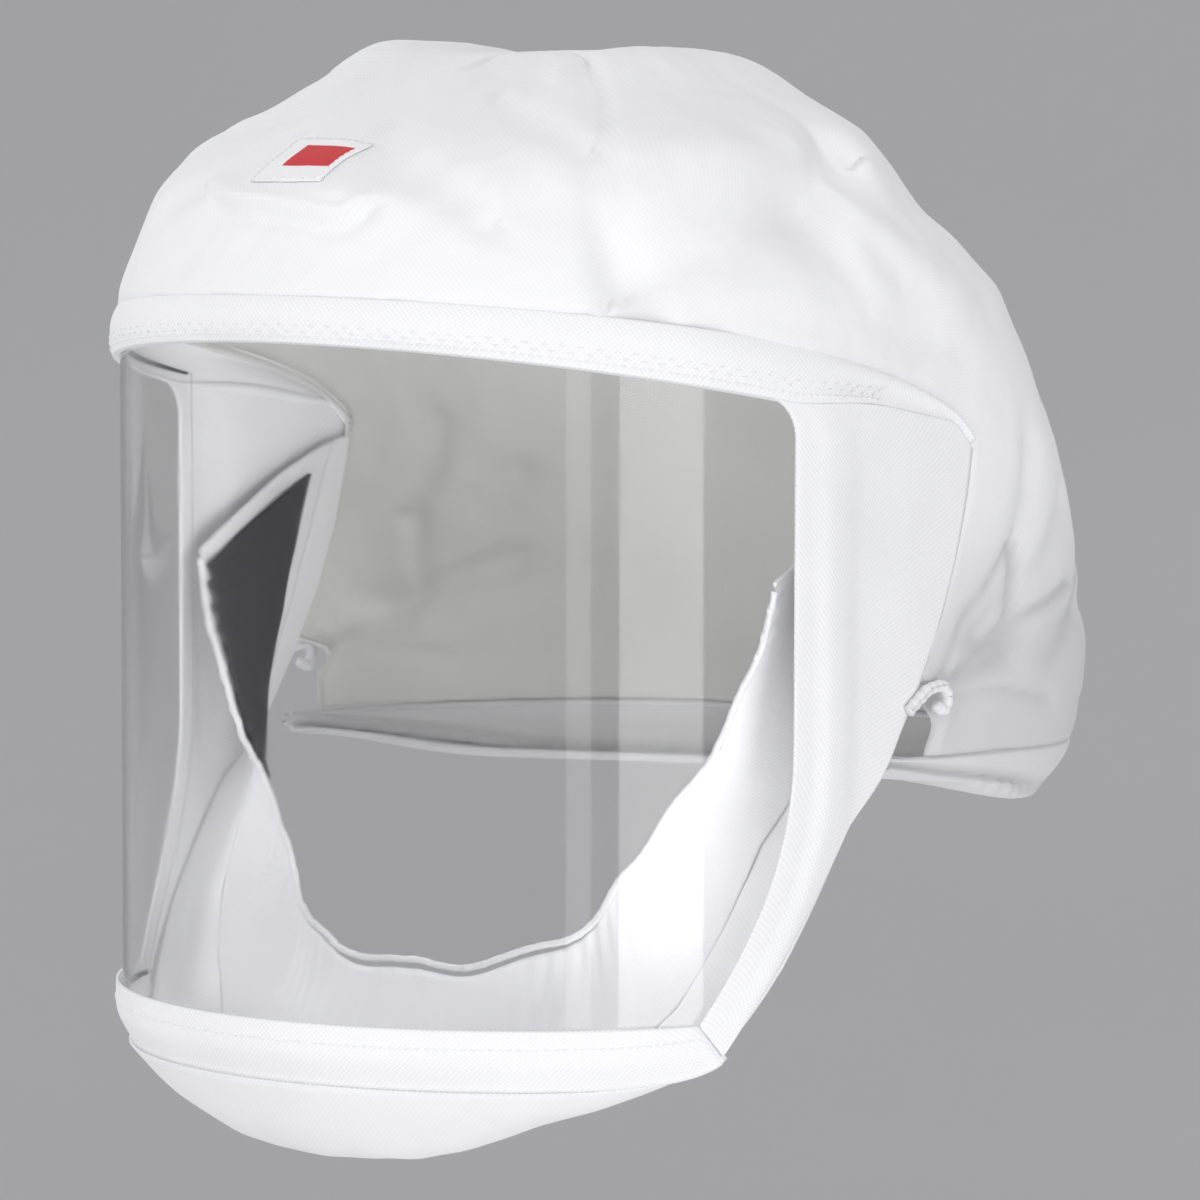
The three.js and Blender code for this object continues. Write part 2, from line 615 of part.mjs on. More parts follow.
// The crown and nape: one hollow cloth shell, cut away where the facing is.
function crownShell() {
  const columns = CROWN_COLUMNS;
  const levels = SECTIONS.map((row) => row.level);
  const loops = levels.map((level) => {
    const loop = [];
    for (let c = 0; c < columns; c += 1) {
      loop.push(clothPoint((2 * c) / columns - 1, level));
    }
    return loop;
  });
  const top = new THREE.Vector3(0, SEAT_BACK, levelHeight(1));
  const centre = (height) => new THREE.Vector3(0, SEAT_BACK, height);
  const outer = toManifold(domeSolid(loops, top, centre(levelHeight(-1))));
  const innerLoops = loops.map((loop, r) => loop.map((point, c) => {
    const above = r + 1 < loops.length ? loops[r + 1][c] : top;
    const below = loops[Math.max(r - 1, 0)][c];
    const around = new THREE.Vector3().subVectors(
      loop[(c + 1) % columns], loop[(c + columns - 1) % columns]);
    const normal = new THREE.Vector3().subVectors(above, below).cross(around).normalize();
    return point.clone().addScaledVector(normal, CLOTH);
  }));
  innerLoops[0].forEach((point) => {
    point.z -= CLOTH;
  });
  const innerTop = centre(levelHeight(1) - CLOTH);
  const inner = toManifold(domeSolid(innerLoops, innerTop, centre(levelHeight(-1) - CLOTH * 2)));
  const ridge = browRidge(GAP);
  const last = ridge[ridge.length - 1];
  const gapTop = napeCrease(NAPE_GAP) + NAPE_GAP_HEIGHT;
  const cut = [
    [FRONT, 0],
    [CUT_REACH, 0],
    [CUT_REACH, napeCrease(BACK_REACH)],
    [BACK_REACH, napeCrease(BACK_REACH)],
    [NAPE_GAP, napeCrease(NAPE_GAP)],
    [NAPE_GAP + NAPE_GAP_LEAN, napeCrease(NAPE_GAP) + NAPE_GAP_HEIGHT / 2],
    [panelBackAt(gapTop) + GAP, gapTop],
    ...panelBack(GAP).filter((point) => point[1] > gapTop),
    [last[0] + GAP, last[1]],
    ...ridge.reverse(),
  ];
  return outer.subtract(inner).subtract(sideBlock(cut, -CUT_REACH, CUT_REACH));
}

// Heights of the crease over the hem band and of the hem, which both fall towards the back.
function napeCrease(y) {
  const back = THREE.MathUtils.clamp((y - PANEL_HEEL) / (BACK_REACH - PANEL_HEEL), 0, 1);
  return HEM_HEIGHT + NAPE_BAND + HEM_FALL * CREASE_FALL * (1 - back);
}

function hemHeight(y) {
  const back = THREE.MathUtils.clamp((y - PANEL_HEEL) / (BACK_REACH - PANEL_HEEL), 0, 1);
  return HEM_HEIGHT + HEM_FALL * (1 - back) ** HEM_FALL_POWER;
}

// The elastic hem band under the nape, turned in at its lower edge.
function napeBand() {
  const levelOf = (height) => (height - BROW_TOP) / (BROW_TOP - HEM_HEIGHT);
  const rows = NAPE_PROFILE.map(({ mix, tuck, under }) => {
    const row = [];
    for (let c = 0; c <= NAPE_COLUMNS; c += 1) {
      const around = -1 + (2 * c) / NAPE_COLUMNS;
      const turn = THREE.MathUtils.lerp(1, NAPE_START, Math.abs(around));
      const side = around < 0 ? 1 : -1;
      const level = levelOf(THREE.MathUtils.lerp(HEM_HEIGHT + NAPE_BAND, HEM_HEIGHT, mix));
      const point = clothPoint(side * turn, Math.max(level, -1));
      const middle = new THREE.Vector3(0, PANEL_CORNER, point.z);
      const inwards = new THREE.Vector3().subVectors(middle, point).normalize();
      point.z = THREE.MathUtils.lerp(napeCrease(point.y) - GAP - CLOTH / 2, hemHeight(point.y), mix)
        - under * HEM_UNDER;
      point.addScaledVector(inwards, tuck * HEM_TURN_IN);
      row.push(point);
    }
    return row;
  });
  return sheetSolid(rows.reverse(), CLOTH, false);
}

// One station of the collar between the facing's lower edge and the face opening.
function sealStation(at) {
  const index = SEAL_STATIONS.map((row, i) => ({ ...row, place: i / (SEAL_STATIONS.length - 1) }));
  const read = (column) => readTable(index, column, 'place', at);
  const turn = read('turn') * RAD;
  const run = read('run');
  const edge = [TOE, ...panelBack(0)];
  const along = run * (edge.length - 1);
  const i = Math.min(Math.floor(along), edge.length - 2);
  const edgeY = THREE.MathUtils.lerp(edge[i][0], edge[i + 1][0], along - i);
  const edgeZ = THREE.MathUtils.lerp(edge[i][1], edge[i + 1][1], along - i);
  const drop = TOE_DROP * Math.max(1 - run / TOE_RUN, 0);
  const outer = new THREE.Vector3(
    planHalfWidth(edgeY, CLOTH + GAP + SEAL_LEAN), edgeY - SEAL_CLOTH, edgeZ - drop);
  if (run === 0) {
    const radius = VISOR_RADIUS - CHIN_ROLL - SEAL_CLOTH;
    const depth = chinDepth(turn / chinEnd(TOE[1])) + SEAM_GAP;
    outer.set(radius * Math.sin(turn), -radius * Math.cos(turn), -depth);
  }
  const inner = new THREE.Vector3(
    read('across') * FACE_HALF_WIDTH,
    -read('back') * CHIN_SETBACK,
    CHIN_LIFT + read('rise') * FACE_HEIGHT);
  return { outer, inner, sagOut: read('sagOut') * CHIN_DROP, sagIn: read('sagIn') * CHIN_DROP };
}

// A point of the collar: around from -1 to 1 with the chin at 0, across from the facing to the face.
function sealPoint(around, across) {
  const { outer, inner, sagOut, sagIn } = sealStation(Math.abs(around));
  const inwards = new THREE.Vector3(inner.x - outer.x, inner.y - outer.y, 0);
  const first = outer.clone().addScaledVector(inwards, SAG_OUTER);
  const second = inner.clone().addScaledVector(inwards, SAG_INNER);
  first.z -= sagOut;
  second.z -= sagIn;
  const point = new THREE.CubicBezierCurve3(outer, first, second, inner).getPoint(across);
  const ripple = Math.cos(around * RUFFLES * 2 * Math.PI) * RUFFLE_DEPTH * across ** 3;
  point.z += ripple;
  point.x *= around < 0 ? -1 : 1;
  return point;
}

// The share of the collar that the outer chin cloth takes, widest under the chin.
function chinShare(around) {
  return CHIN_CLOTH_LEAST + CHIN_CLOTH_MORE * Math.max(Math.cos(around * 90 * RAD), 0) ** CHIN_CLOTH_POWER;
}

// Points of the collar between two shares of its depth.
function collarGrid(from, to, columns, rowCount) {
  const rows = [];
  for (let r = 0; r <= rowCount; r += 1) {
    const row = [];
    for (let c = 0; c <= columns; c += 1) {
      const around = -1 + (2 * c) / columns;
      row.push(sealPoint(around, THREE.MathUtils.lerp(from(around), to(around), r / rowCount)));
    }
    rows.push(row);
  }
  return rows;
}

// Grid points moved out along the grid's own normals.
function offsetGrid(rows, distance) {
  return rows.map((row, r) => row.map((point, c) => point.clone().addScaledVector(
    gridNormal(rows, r, c, false), distance)));
}

// Points along the edge of the face opening, from the wearer's right temple round to the left.
function faceEdge(steps, reach) {
  return Array.from({ length: steps + 1 }, (_, i) => sealPoint(reach * ((2 * i) / steps - 1), 1));
}

// The share of the collar's depth where its cloth ends, just clear of the elastic.
function sealEnd(around) {
  const clear = ELASTIC_RADIUS + 2 * GAP;
  const room = (share) => {
    const place = sealPoint(around, share);
    return Math.min(...FACE_EDGE.map((point) => point.distanceTo(place)));
  };
  let share = 1;
  while (room(share) < clear) {
    share -= SEAM_SHARE / 2;
  }
  return share;
}

// The elastic that edges the face opening, ruffled with the collar.
function faceElastic() {
  const steps = SEAL_COLUMNS;
  const section = new THREE.Shape();
  section.absarc(0, 0, ELASTIC_RADIUS, 0, 2 * Math.PI, false);
  const path = new THREE.CatmullRomCurve3(faceEdge(steps, ELASTIC_REACH));
  return new THREE.ExtrudeGeometry(section, {
    steps, bevelEnabled: false, extrudePath: path, curveSegments: CORD_SEGMENTS,
  });
}

// The dark lining on the head side of the collar beside the cheek and temple.
function cheekLining(side) {
  const grid = offsetGrid(SEAL_GRID, -(SEAL_CLOTH + 2 * GAP));
  const first = Math.round(SEAL_COLUMNS * LINING_START);
  const last = Math.round(SEAL_COLUMNS * LINING_END);
  const rows = grid.slice(1, SEAL_ROWS).map((row) => (
    side > 0 ? row.slice(first, last + 1) : row.slice(SEAL_COLUMNS - last, SEAL_COLUMNS - first + 1)));
  return sheetSolid(rows, LINING_SHEET, false);
}

// The blank sewn patch on the forehead.
function browLabel() {
  const half = (LABEL_LENGTH * LABEL_RISE) / DOME_HEIGHT / 2;
  const rows = [];
  for (let r = 0; r <= LABEL_STEPS; r += 1) {
    const row = [];
    for (let c = 0; c <= LABEL_STEPS; c += 1) {
      const x = (c / LABEL_STEPS - 0.5) * LABEL_WIDTH;
      const level = THREE.MathUtils.lerp(LABEL_LEVEL - half, LABEL_LEVEL + half, r / LABEL_STEPS);
      const halfWidth = readTable(SECTIONS, 'width', 'level', level) * VISOR_RADIUS;
      const power = readTable(SECTIONS, 'frontPower', 'level', level);
      const angle = Math.asin((Math.abs(x) / halfWidth) ** (power / 2));
      const turn = Math.sign(x) * (angle / (90 * RAD)) * FRONT_SHARE;
      row.push(clothPoint(turn, level));
    }
    rows.push(row);
  }
  return sheetSolid(offsetGrid(rows, 2 * GAP + LABEL_SHEET), LABEL_SHEET, false);
}

// The rolled end of the neck elastic, hooked outside the cloth behind one side panel.
function elasticEnd(side) {
  const x = VISOR_RADIUS + KNOT_CORD / 2 + GAP * 2;
  const y = NAPE_GAP + KNOT_BACK;
  const z = napeCrease(NAPE_GAP) + KNOT_RISE;
  const points = KNOT_ROUTE.map(({ along, up }) => new THREE.Vector3(
    side * x, y + along * KNOT_RADIUS, z + up * KNOT_RADIUS));
  const section = new THREE.Shape();
  section.absarc(0, 0, KNOT_CORD / 2, 0, 2 * Math.PI, false);
  return new THREE.ExtrudeGeometry(section, {
    steps: KNOT_STEPS,
    bevelEnabled: false,
    extrudePath: new THREE.CatmullRomCurve3(points),
    curveSegments: CORD_SEGMENTS,
  });
}

// The collar's lines and grids, worked out once.
const FACE_EDGE = faceEdge(4 * SEAL_COLUMNS, 1);
const CHIN_GRID = collarGrid(() => 0, (around) => chinShare(around) - SEAM_SHARE, SEAL_COLUMNS, CHIN_ROWS);
const SEAL_GRID = collarGrid(chinShare, sealEnd, SEAL_COLUMNS, SEAL_ROWS);

const group = new THREE.Group();
group.name = 'respirator_head_cover';

function addPiece(name, geometry, finish) {
  const mesh = new THREE.Mesh(geometry, material(finish));
  mesh.name = name;
  mesh.geometry.computeVertexNormals();
  group.add(mesh);
}

addPiece('visor', toGeometry(visorSheet()), 'visor');
addPiece('brow_band', toGeometry(browBand()), 'facing');
addPiece('side_panel_left', toGeometry(sidePanel(1)), 'facing');
addPiece('side_panel_right', toGeometry(sidePanel(-1)), 'facing');
addPiece('chin_band', chinBand(), 'facing');
addPiece('crown', toGeometry(crownShell()), 'cloth');
addPiece('nape_band', napeBand(), 'cloth');
addPiece('chin_panel', sheetSolid(CHIN_GRID, SEAL_CLOTH, false), 'cloth');
addPiece('face_seal', sheetSolid(SEAL_GRID, SEAL_CLOTH, false), 'seal');
addPiece('face_elastic', faceElastic(), 'elastic');
addPiece('cheek_lining_left', cheekLining(1), 'lining');
addPiece('cheek_lining_right', cheekLining(-1), 'lining');
addPiece('elastic_end_left', elasticEnd(1), 'elastic');
addPiece('elastic_end_right', elasticEnd(-1), 'elastic');
addPiece('brow_label', browLabel(), 'label');

group.position.set(0, -SEAT_BACK, -(levelHeight(1) - CLOTH));

export default group;
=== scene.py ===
"""A loose white cloth head cover for supplied-air breathing, with a wide clear visor."""

import logging
import math
from dataclasses import dataclass, field
from enum import Enum

import bmesh
import bpy
import numpy as np
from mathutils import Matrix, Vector, noise


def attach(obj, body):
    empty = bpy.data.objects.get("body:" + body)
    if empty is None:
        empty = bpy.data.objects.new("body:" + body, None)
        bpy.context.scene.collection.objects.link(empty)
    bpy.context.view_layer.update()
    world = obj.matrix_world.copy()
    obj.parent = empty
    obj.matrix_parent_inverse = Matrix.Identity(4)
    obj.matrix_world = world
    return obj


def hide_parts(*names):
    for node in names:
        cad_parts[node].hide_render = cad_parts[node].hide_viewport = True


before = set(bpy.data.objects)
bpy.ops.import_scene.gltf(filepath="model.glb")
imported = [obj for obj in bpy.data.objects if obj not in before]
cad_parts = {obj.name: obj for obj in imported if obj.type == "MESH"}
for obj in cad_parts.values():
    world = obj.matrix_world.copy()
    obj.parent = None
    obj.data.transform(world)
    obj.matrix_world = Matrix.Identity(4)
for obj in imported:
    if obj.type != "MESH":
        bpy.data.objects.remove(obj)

LOG = logging.getLogger("head_cover")
MM = 0.001
SEED = 11
SIDE_NAMES = {1: "left", -1: "right"}
HEAD_MIDDLE = np.array([0, 25, 120])


class Slot(Enum):
    """Material slots of the record."""

    CLOTH = "cloth"
    FACING = "facing"
    SEAL = "seal"
    ELASTIC = "elastic"
    LINING = "lining"
    LABEL = "label"
    VISOR = "visor"


class Hold(Enum):
    """How a sheet of cloth is held."""

    DRAPED = "draped"
    GATHERED = "gathered"
    STRETCHED = "stretched"
    LAID = "laid"


# ---------------------------------------------------------------- the cut of the cover

# Sections of the cloth from hem to crown, one row for each height.
# level: -1 at the hem, 0 at the top of the brow band, 1 at the top of the dome
# width, front: shares of the visor radius; back: share of the back's reach
# middle: where the back starts to curve in, a share of the side panel's length
# bow, stern: how square the front and back curves are, 2 for an ellipse
SECTION_COLUMNS = ("level", "width", "front", "back", "middle", "bow", "stern")
SECTIONS = (
    (-1.0, 0.94, 1.0, 0.95, 0.66, 2, 2.4),
    (-0.93, 0.975, 1.0, 1.0, 0.66, 2, 2.4),
    (-0.85, 0.99, 1.0, 1.03, 0.68, 2, 2.4),
    (-0.74, 1.0, 1.0, 1.045, 0.69, 2, 2.4),
    (-0.55, 1.0, 1.0, 1.025, 0.69, 2, 2.35),
    (-0.35, 1.0, 1.0, 0.955, 0.68, 2, 2.3),
    (-0.18, 1.0, 1.0, 0.865, 0.64, 2, 2.2),
    (0.0, 0.985, 0.985, 0.75, 0.56, 2, 2.1),
    (0.2, 0.94, 0.94, 0.645, 0.45, 2.05, 2.1),
    (0.34, 0.895, 0.905, 0.595, 0.35, 2.1, 2),
    (0.41, 0.875, 0.87, 0.565, 0.33, 2.15, 2),
    (0.52, 0.85, 0.78, 0.52, 0.3, 2.2, 2),
    (0.64, 0.8, 0.64, 0.48, 0.27, 2.4, 2),
    (0.75, 0.69, 0.5, 0.45, 0.25, 2.4, 2),
    (0.86, 0.53, 0.34, 0.42, 0.22, 2.3, 2),
    (0.94, 0.4, 0.21, 0.34, 0.2, 2.2, 2),
    (0.985, 0.24, 0.1, 0.2, 0.18, 2, 2),
)

# Broad folds of the cloth, each a line from one place to another.
# turn: 0 at the middle of the front, 1 at the middle of the back
# depth: millimetres inwards where positive; width: millimetres
# side: 1 the wearer's left, -1 the right, 0 both
FOLD_COLUMNS = ("turn_a", "level_a", "turn_b", "level_b", "depth", "width", "side")
BROAD_FOLDS = (
    (0.28, 0.04, 0.43, 0.27, 4.0, 10.8, 0),
    (0.43, 0.27, 0.56, 0.56, 4.5, 13.2, 0),
    (0.53, 0.3, 0.58, 0.0, -3.0, 12.0, 0),
    (0.26, 0.1, 0.22, 0.88, 2.5, 7.2, 0),
    (0.1, 0.62, 0.2, 0.36, 3.0, 9.6, 1),
    (0.07, 0.5, 0.13, 0.72, 2.5, 10.8, -1),
    (0.6, -0.66, 0.72, -0.42, 2.75, 5.4, 0),
    (0.6, -0.66, 0.66, -0.3, 2.5, 5.4, 0),
    (0.6, -0.68, 0.8, -0.62, 2.0, 6.0, 0),
    (0.8, -0.5, 1.0, -0.3, 2.5, 12.0, 0),
)

# The brow band's lower edge behind the window: share of the way to the panel's corner,
# and drop below the band's top as a share of the band's height.
BROW_FOOT = ((0.3, 0.62), (0.8, 0.6), (1.0, 1.1))

# The brow band across its width, over the window and rolled behind it: share up the band, and
# how far it stands out in millimetres.
BROW_OVER = (
    (-0.3, -0.9), (-0.05, -0.5), (0, 0.1), (0.12, 0.5), (0.4, 0.8), (0.6, 0.7), (0.8, 0.0), (0.92, -0.8),
    (1, -1.45), (1.04, -1.9),
)
BROW_ROLLED = (
    (-0.3, -1.35), (-0.05, -1.3), (-0.006, -1.2), (0.004, -0.25), (0.2, -0.4), (0.45, 0.2), (0.7, 1.2),
    (0.82, 1.1), (0.92, 0.1), (1, -1.2), (1.04, -1.9),
)

# The side panel's shallow forms: distance behind the window, and how far it stands out.
PANEL_FORM = ((0, 0), (3, 0.1), (6, 0.1), (12, 1.3), (17, 0.9), (27, -0.5), (38, -0.1), (50, 0.6), (80, 0.2))

# The side panel's back edge: share of the way from heel to corner, and share of the rise.
PANEL_BACK = (
    (0, 0), (0.28, 0.131), (0.42, 0.243), (0.53, 0.333),
    (0.745, 0.542), (0.875, 0.719), (0.965, 0.896), (1, 1),
)

# Stations of the inner collar from the chin up to the temple.
# Outer end: turn in degrees round the chin band, or run along the side panel's lower edge.
# Inner end at the face opening: shares of its half width, of its setback and of its height.
# sag_out, sag_in: how far the cloth hangs at each end, as shares of the chin's drop.
STATION_COLUMNS = ("turn", "run", "across", "back", "rise", "sag_out", "sag_in")
STATIONS = (
    (0, 0, 0.0, 1.0, 0.0, 1.45, 2.3),
    (16, 0, 0.2, 0.97, 0.015, 1.35, 2.2),
    (32, 0, 0.38, 0.85, 0.06, 1.1, 1.9),
    (48, 0, 0.5, 0.7, 0.14, 0.75, 1.35),
    (63.5, 0, 0.575, 0.62, 0.26, 0.25, 0.7),
    (68, 0.12, 0.66, 0.56, 0.38, 0.05, 0.45),
    (90, 0.34, 0.77, 0.52, 0.52, 0, 0.3),
    (90, 0.56, 0.86, 0.48, 0.68, 0, 0.15),
    (90, 0.76, 0.93, 0.45, 0.84, 0, 0.05),
    (90, 0.97, 0.975, 0.42, 1.0, 0, 0),
)


def smooth_step(low: float, high: float, at: np.ndarray) -> np.ndarray:
    """Soft step from 0 at low to 1 at high."""
    share = np.clip((at - low) / (high - low), 0, 1)
    return share * share * (3 - 2 * share)


def smooth_read(places: np.ndarray, values: np.ndarray, at: np.ndarray) -> np.ndarray:
    """Reads a table along a smooth curve that never overshoots its rows.

    Args:
        places: rising places of the rows.
        values: the rows' values.
        at: places to read.
    Returns:
        The value at each place.
    """
    places, values = np.asarray(places, float), np.asarray(values, float)
    gap = np.diff(places)
    rate = np.diff(values) / gap
    slope = np.zeros(len(places))
    slope[0], slope[-1] = rate[0], rate[-1]
    for i in range(1, len(places) - 1):
        if rate[i - 1] * rate[i] > 0:
            near, far = 2 * gap[i] + gap[i - 1], gap[i] + 2 * gap[i - 1]
            slope[i] = (near + far) / (near / rate[i - 1] + far / rate[i])
    i = np.clip(np.searchsorted(places, at) - 1, 0, len(places) - 2)
    t = np.clip((at - places[i]) / gap[i], 0, 1)
    return (
        values[i] * (1 + 2 * t) * (1 - t) ** 2
        + slope[i] * gap[i] * t * (1 - t) ** 2
        + values[i + 1] * t * t * (3 - 2 * t)
        + slope[i + 1] * gap[i] * t * t * (t - 1)
    )


def bent(a: np.ndarray, b: np.ndarray, c: np.ndarray, d: np.ndarray, t: np.ndarray) -> np.ndarray:
    """Points of the curve from a to d that the handles b and c bend, at shares t of the way."""
    return a * (1 - t) ** 3 + b * 3 * t * (1 - t) ** 2 + c * 3 * t * t * (1 - t) + d * t ** 3


def soft_noise(points: np.ndarray, grain: float, ridged: bool = False) -> np.ndarray:
    """Smooth noise at places in space.

    Args:
        points: places in millimetres, with the last axis x, y, z.
        grain: size of the noise's lumps in millimetres.
        ridged: True for sharp crests, as in creased cloth.
    Returns:
        About -1 to 1 for each place.
    """
    flat = points.reshape(-1, 3) / grain
    shift = Vector((SEED * 1.7, SEED * 0.3, SEED * 2.1))
    out = np.array([noise.noise(Vector(p) + shift) for p in flat.tolist()])
    if ridged:
        out = 1 - 2 * np.abs(out) ** 0.7
    return out.reshape(points.shape[:-1])


@dataclass(frozen=True)
class Cut:
    """Sizes of the cover in millimetres, upwards from the window's lower edge, as the solids have them."""

    visor_radius: float = 113.0
    window_height: float = 177.0
    window_turn: float = 78.5
    window_foot_turn: float = 63.5
    window_corner: float = 9.0
    window_flare: float = 0.4
    brow_tilt: float = 10.0
    brow_band: float = 12.0
    brow_arch: float = 3.0
    brow_droop: float = 0.8
    brow_droop_power: float = 12.0
    chin_band: float = 16.5
    chin_roll: float = 4.0
    chin_end_lift: float = 0.45
    chin_wrap: float = 0.022
    toe_drop: float = 5.0
    toe_run: float = 0.3
    toe_turn: float = 67.0
    visor_sheet: float = 1.0
    visor_overlap: float = 3.7
    panel_length: float = 73.0
    panel_corner: float = 52.5
    panel_heel: float = -2.0
    panel_foot: float = 49.0
    cloth: float = 1.6
    gap: float = 0.3
    dome_height: float = 65.0
    pad_rise: float = 3.0
    pad_turn: float = 0.11
    front_share: float = 0.44
    back_share: float = 0.58
    ridge_left: float = 4.0
    ridge_right: float = 7.5
    ridge_apart: float = 94.0
    ridge_width: float = 28.0
    back_reach: float = 171.0
    hem_height: float = 48.0
    nape_band: float = 13.0
    nape_start: float = 0.498
    hem_turn_in: float = 12.0
    hem_fall: float = 14.0
    crease_fall: float = 0.35
    hem_under: float = 4.5
    nape_gap: float = 33.0
    nape_gap_height: float = 22.0
    nape_gap_lean: float = 1.0
    chin_drop: float = 25.0
    seal_cloth: float = 1.4
    seal_lean: float = 0.1
    seam_gap: float = 0.5
    face_half_width: float = 106.0
    face_height: float = 105.0
    chin_setback: float = 50.0
    chin_lift: float = 8.0
    seat_back: float = 15.0
    ruffles: int = 5
    ruffle_depth: float = 1.1

    @property
    def brow_top(self) -> float:
        """Height of the brow band's top at the middle of the front."""
        return self.window_height + self.brow_band

    @property
    def quarter(self) -> float:
        """Length of the facing's wall from the middle of the front to its straight side."""
        return self.visor_radius * math.pi / 2

    def level_height(self, level: np.ndarray) -> np.ndarray:
        """Height of a level of the sections."""
        below = self.brow_top + level * (self.brow_top - self.hem_height)
        return np.where(level < 0, below, self.brow_top + level * self.dome_height)

    def height_level(self, height: np.ndarray) -> np.ndarray:
        """Level of the sections at a height."""
        rise = np.asarray(height, float) - self.brow_top
        return np.where(rise < 0, rise / (self.brow_top - self.hem_height), rise / self.dome_height)

    def side_y(self, turn: float) -> float:
        """How far behind the visor's centre line a turn in degrees round the visor lies."""
        return -self.visor_radius * math.cos(math.radians(turn))

    def brow_line(self, height: float, y: np.ndarray) -> np.ndarray:
        """Height of a line that runs with the brow's tilt."""
        return height - math.tan(math.radians(self.brow_tilt)) * (y + self.visor_radius)

    def brow_ridge(self, y: np.ndarray) -> np.ndarray:
        """Height of the brow band's top edge."""
        share = np.clip((y + self.visor_radius) / (self.panel_corner + self.visor_radius), 0, 1)
        arch = self.brow_arch * np.sin(np.pi * share)
        droop = self.brow_band * self.brow_droop * share ** self.brow_droop_power
        return self.brow_line(self.brow_top, y) + arch - droop

    def brow_foot(self, y: np.ndarray) -> np.ndarray:
        """Height of the brow band's lower edge."""
        side = self.side_y(self.window_turn)
        places = [side] + [self.panel_corner * share for share, _ in BROW_FOOT]
        drops = [1.0] + [drop for _, drop in BROW_FOOT]
        drop = np.where(y < side, 1.0, smooth_read(places, drops, np.maximum(y, side)))
        return self.brow_line(self.brow_top - self.brow_band * drop, y)

    def window_edge(self, steps: int) -> np.ndarray:
        """The window's side edge seen from the side, from its foot up to the brow.

        Args:
            steps: how finely the lower curve is drawn.
        Returns:
            Rows of (y, z).
        """
        foot, side = self.side_y(self.window_foot_turn), self.side_y(self.window_turn)
        flare = self.window_height * self.window_flare
        handles = np.array([[foot, 0], [(foot + side) / 2, flare * 0.3], [side, flare * 0.6], [side, flare]])
        curve = bent(*handles, np.linspace(0, 1, steps)[:, None])
        corner = self.brow_line(self.window_height, side)
        angle = np.linspace(0, math.pi / 2, 8)[:, None]
        arc = np.hstack([
            side - self.window_corner * (1 - np.cos(angle)),
            corner - self.window_corner * (1 - np.sin(angle)),
        ])
        arc[:, 1] += (self.brow_line(self.window_height, arc[:, 0]) - corner)
        return np.vstack([curve, arc])

    def panel_back(self) -> np.ndarray:
        """The side panel's back edge seen from the side, from heel to corner, as rows of (y, z)."""
        top = float(self.brow_foot(np.array(self.panel_corner)))
        shares = np.array(PANEL_BACK, float)
        return np.column_stack([
            self.panel_heel + (self.panel_corner - self.panel_heel) * shares[:, 0],
            self.panel_foot + (top - self.panel_foot) * shares[:, 1],
        ])

    @property
    def toe(self) -> np.ndarray:
        """The lowest point of the side panel seen from the side."""
        return np.array([self.side_y(self.toe_turn), -self.chin_band / 2])

    def wall(self, run: np.ndarray, height: np.ndarray, proud: np.ndarray) -> np.ndarray:
        """Places on the facing's wall.

        Args:
            run: distance round the wall from the middle of the front, negative to the wearer's right.
            height: height above the window's lower edge.
            proud: how far outside the facing's face.
        Returns:
            Points in millimetres.
        """
        away = np.abs(run)
        turn = np.minimum(away, self.quarter) / self.visor_radius
        reach = self.visor_radius + proud
        y = -reach * np.cos(turn) + np.maximum(away - self.quarter, 0)
        return np.stack(np.broadcast_arrays(np.sign(run) * reach * np.sin(turn), y, height), axis=-1)

    def run_of(self, y: np.ndarray) -> np.ndarray:
        """Distance round the wall to a place behind the visor's centre line."""
        bent = self.visor_radius * np.arccos(np.clip(-y / self.visor_radius, -1, 1))
        return np.where(y < 0, bent, self.quarter + y)

    def y_of(self, run: np.ndarray) -> np.ndarray:
        """How far behind the visor's centre line a distance round the wall lies."""
        away = np.abs(run)
        bent = -self.visor_radius * np.cos(np.minimum(away, self.quarter) / self.visor_radius)
        return np.where(away < self.quarter, bent, away - self.quarter)

    def fold_depth(self, turn: np.ndarray, level: np.ndarray, side: np.ndarray) -> np.ndarray:
        """How deep the folds press into the cloth, in millimetres."""
        loop = self.back_reach + self.visor_radius * 1.4
        px, pz = turn * loop, self.level_height(level)
        depth = np.zeros_like(px)
        for row in BROAD_FOLDS:
            fold = dict(zip(FOLD_COLUMNS, row))
            ax, az = fold["turn_a"] * loop, float(self.level_height(np.array(fold["level_a"])))
            bx = fold["turn_b"] * loop - ax
            bz = float(self.level_height(np.array(fold["level_b"]))) - az
            near = np.clip(((px - ax) * bx + (pz - az) * bz) / (bx * bx + bz * bz), 0, 1)
            away = np.hypot(px - ax - near * bx, pz - az - near * bz) / fold["width"]
            here = fold["depth"] * np.exp(-away * away)
            depth += np.where((fold["side"] == 0) | (fold["side"] == side), here, 0)
        return depth

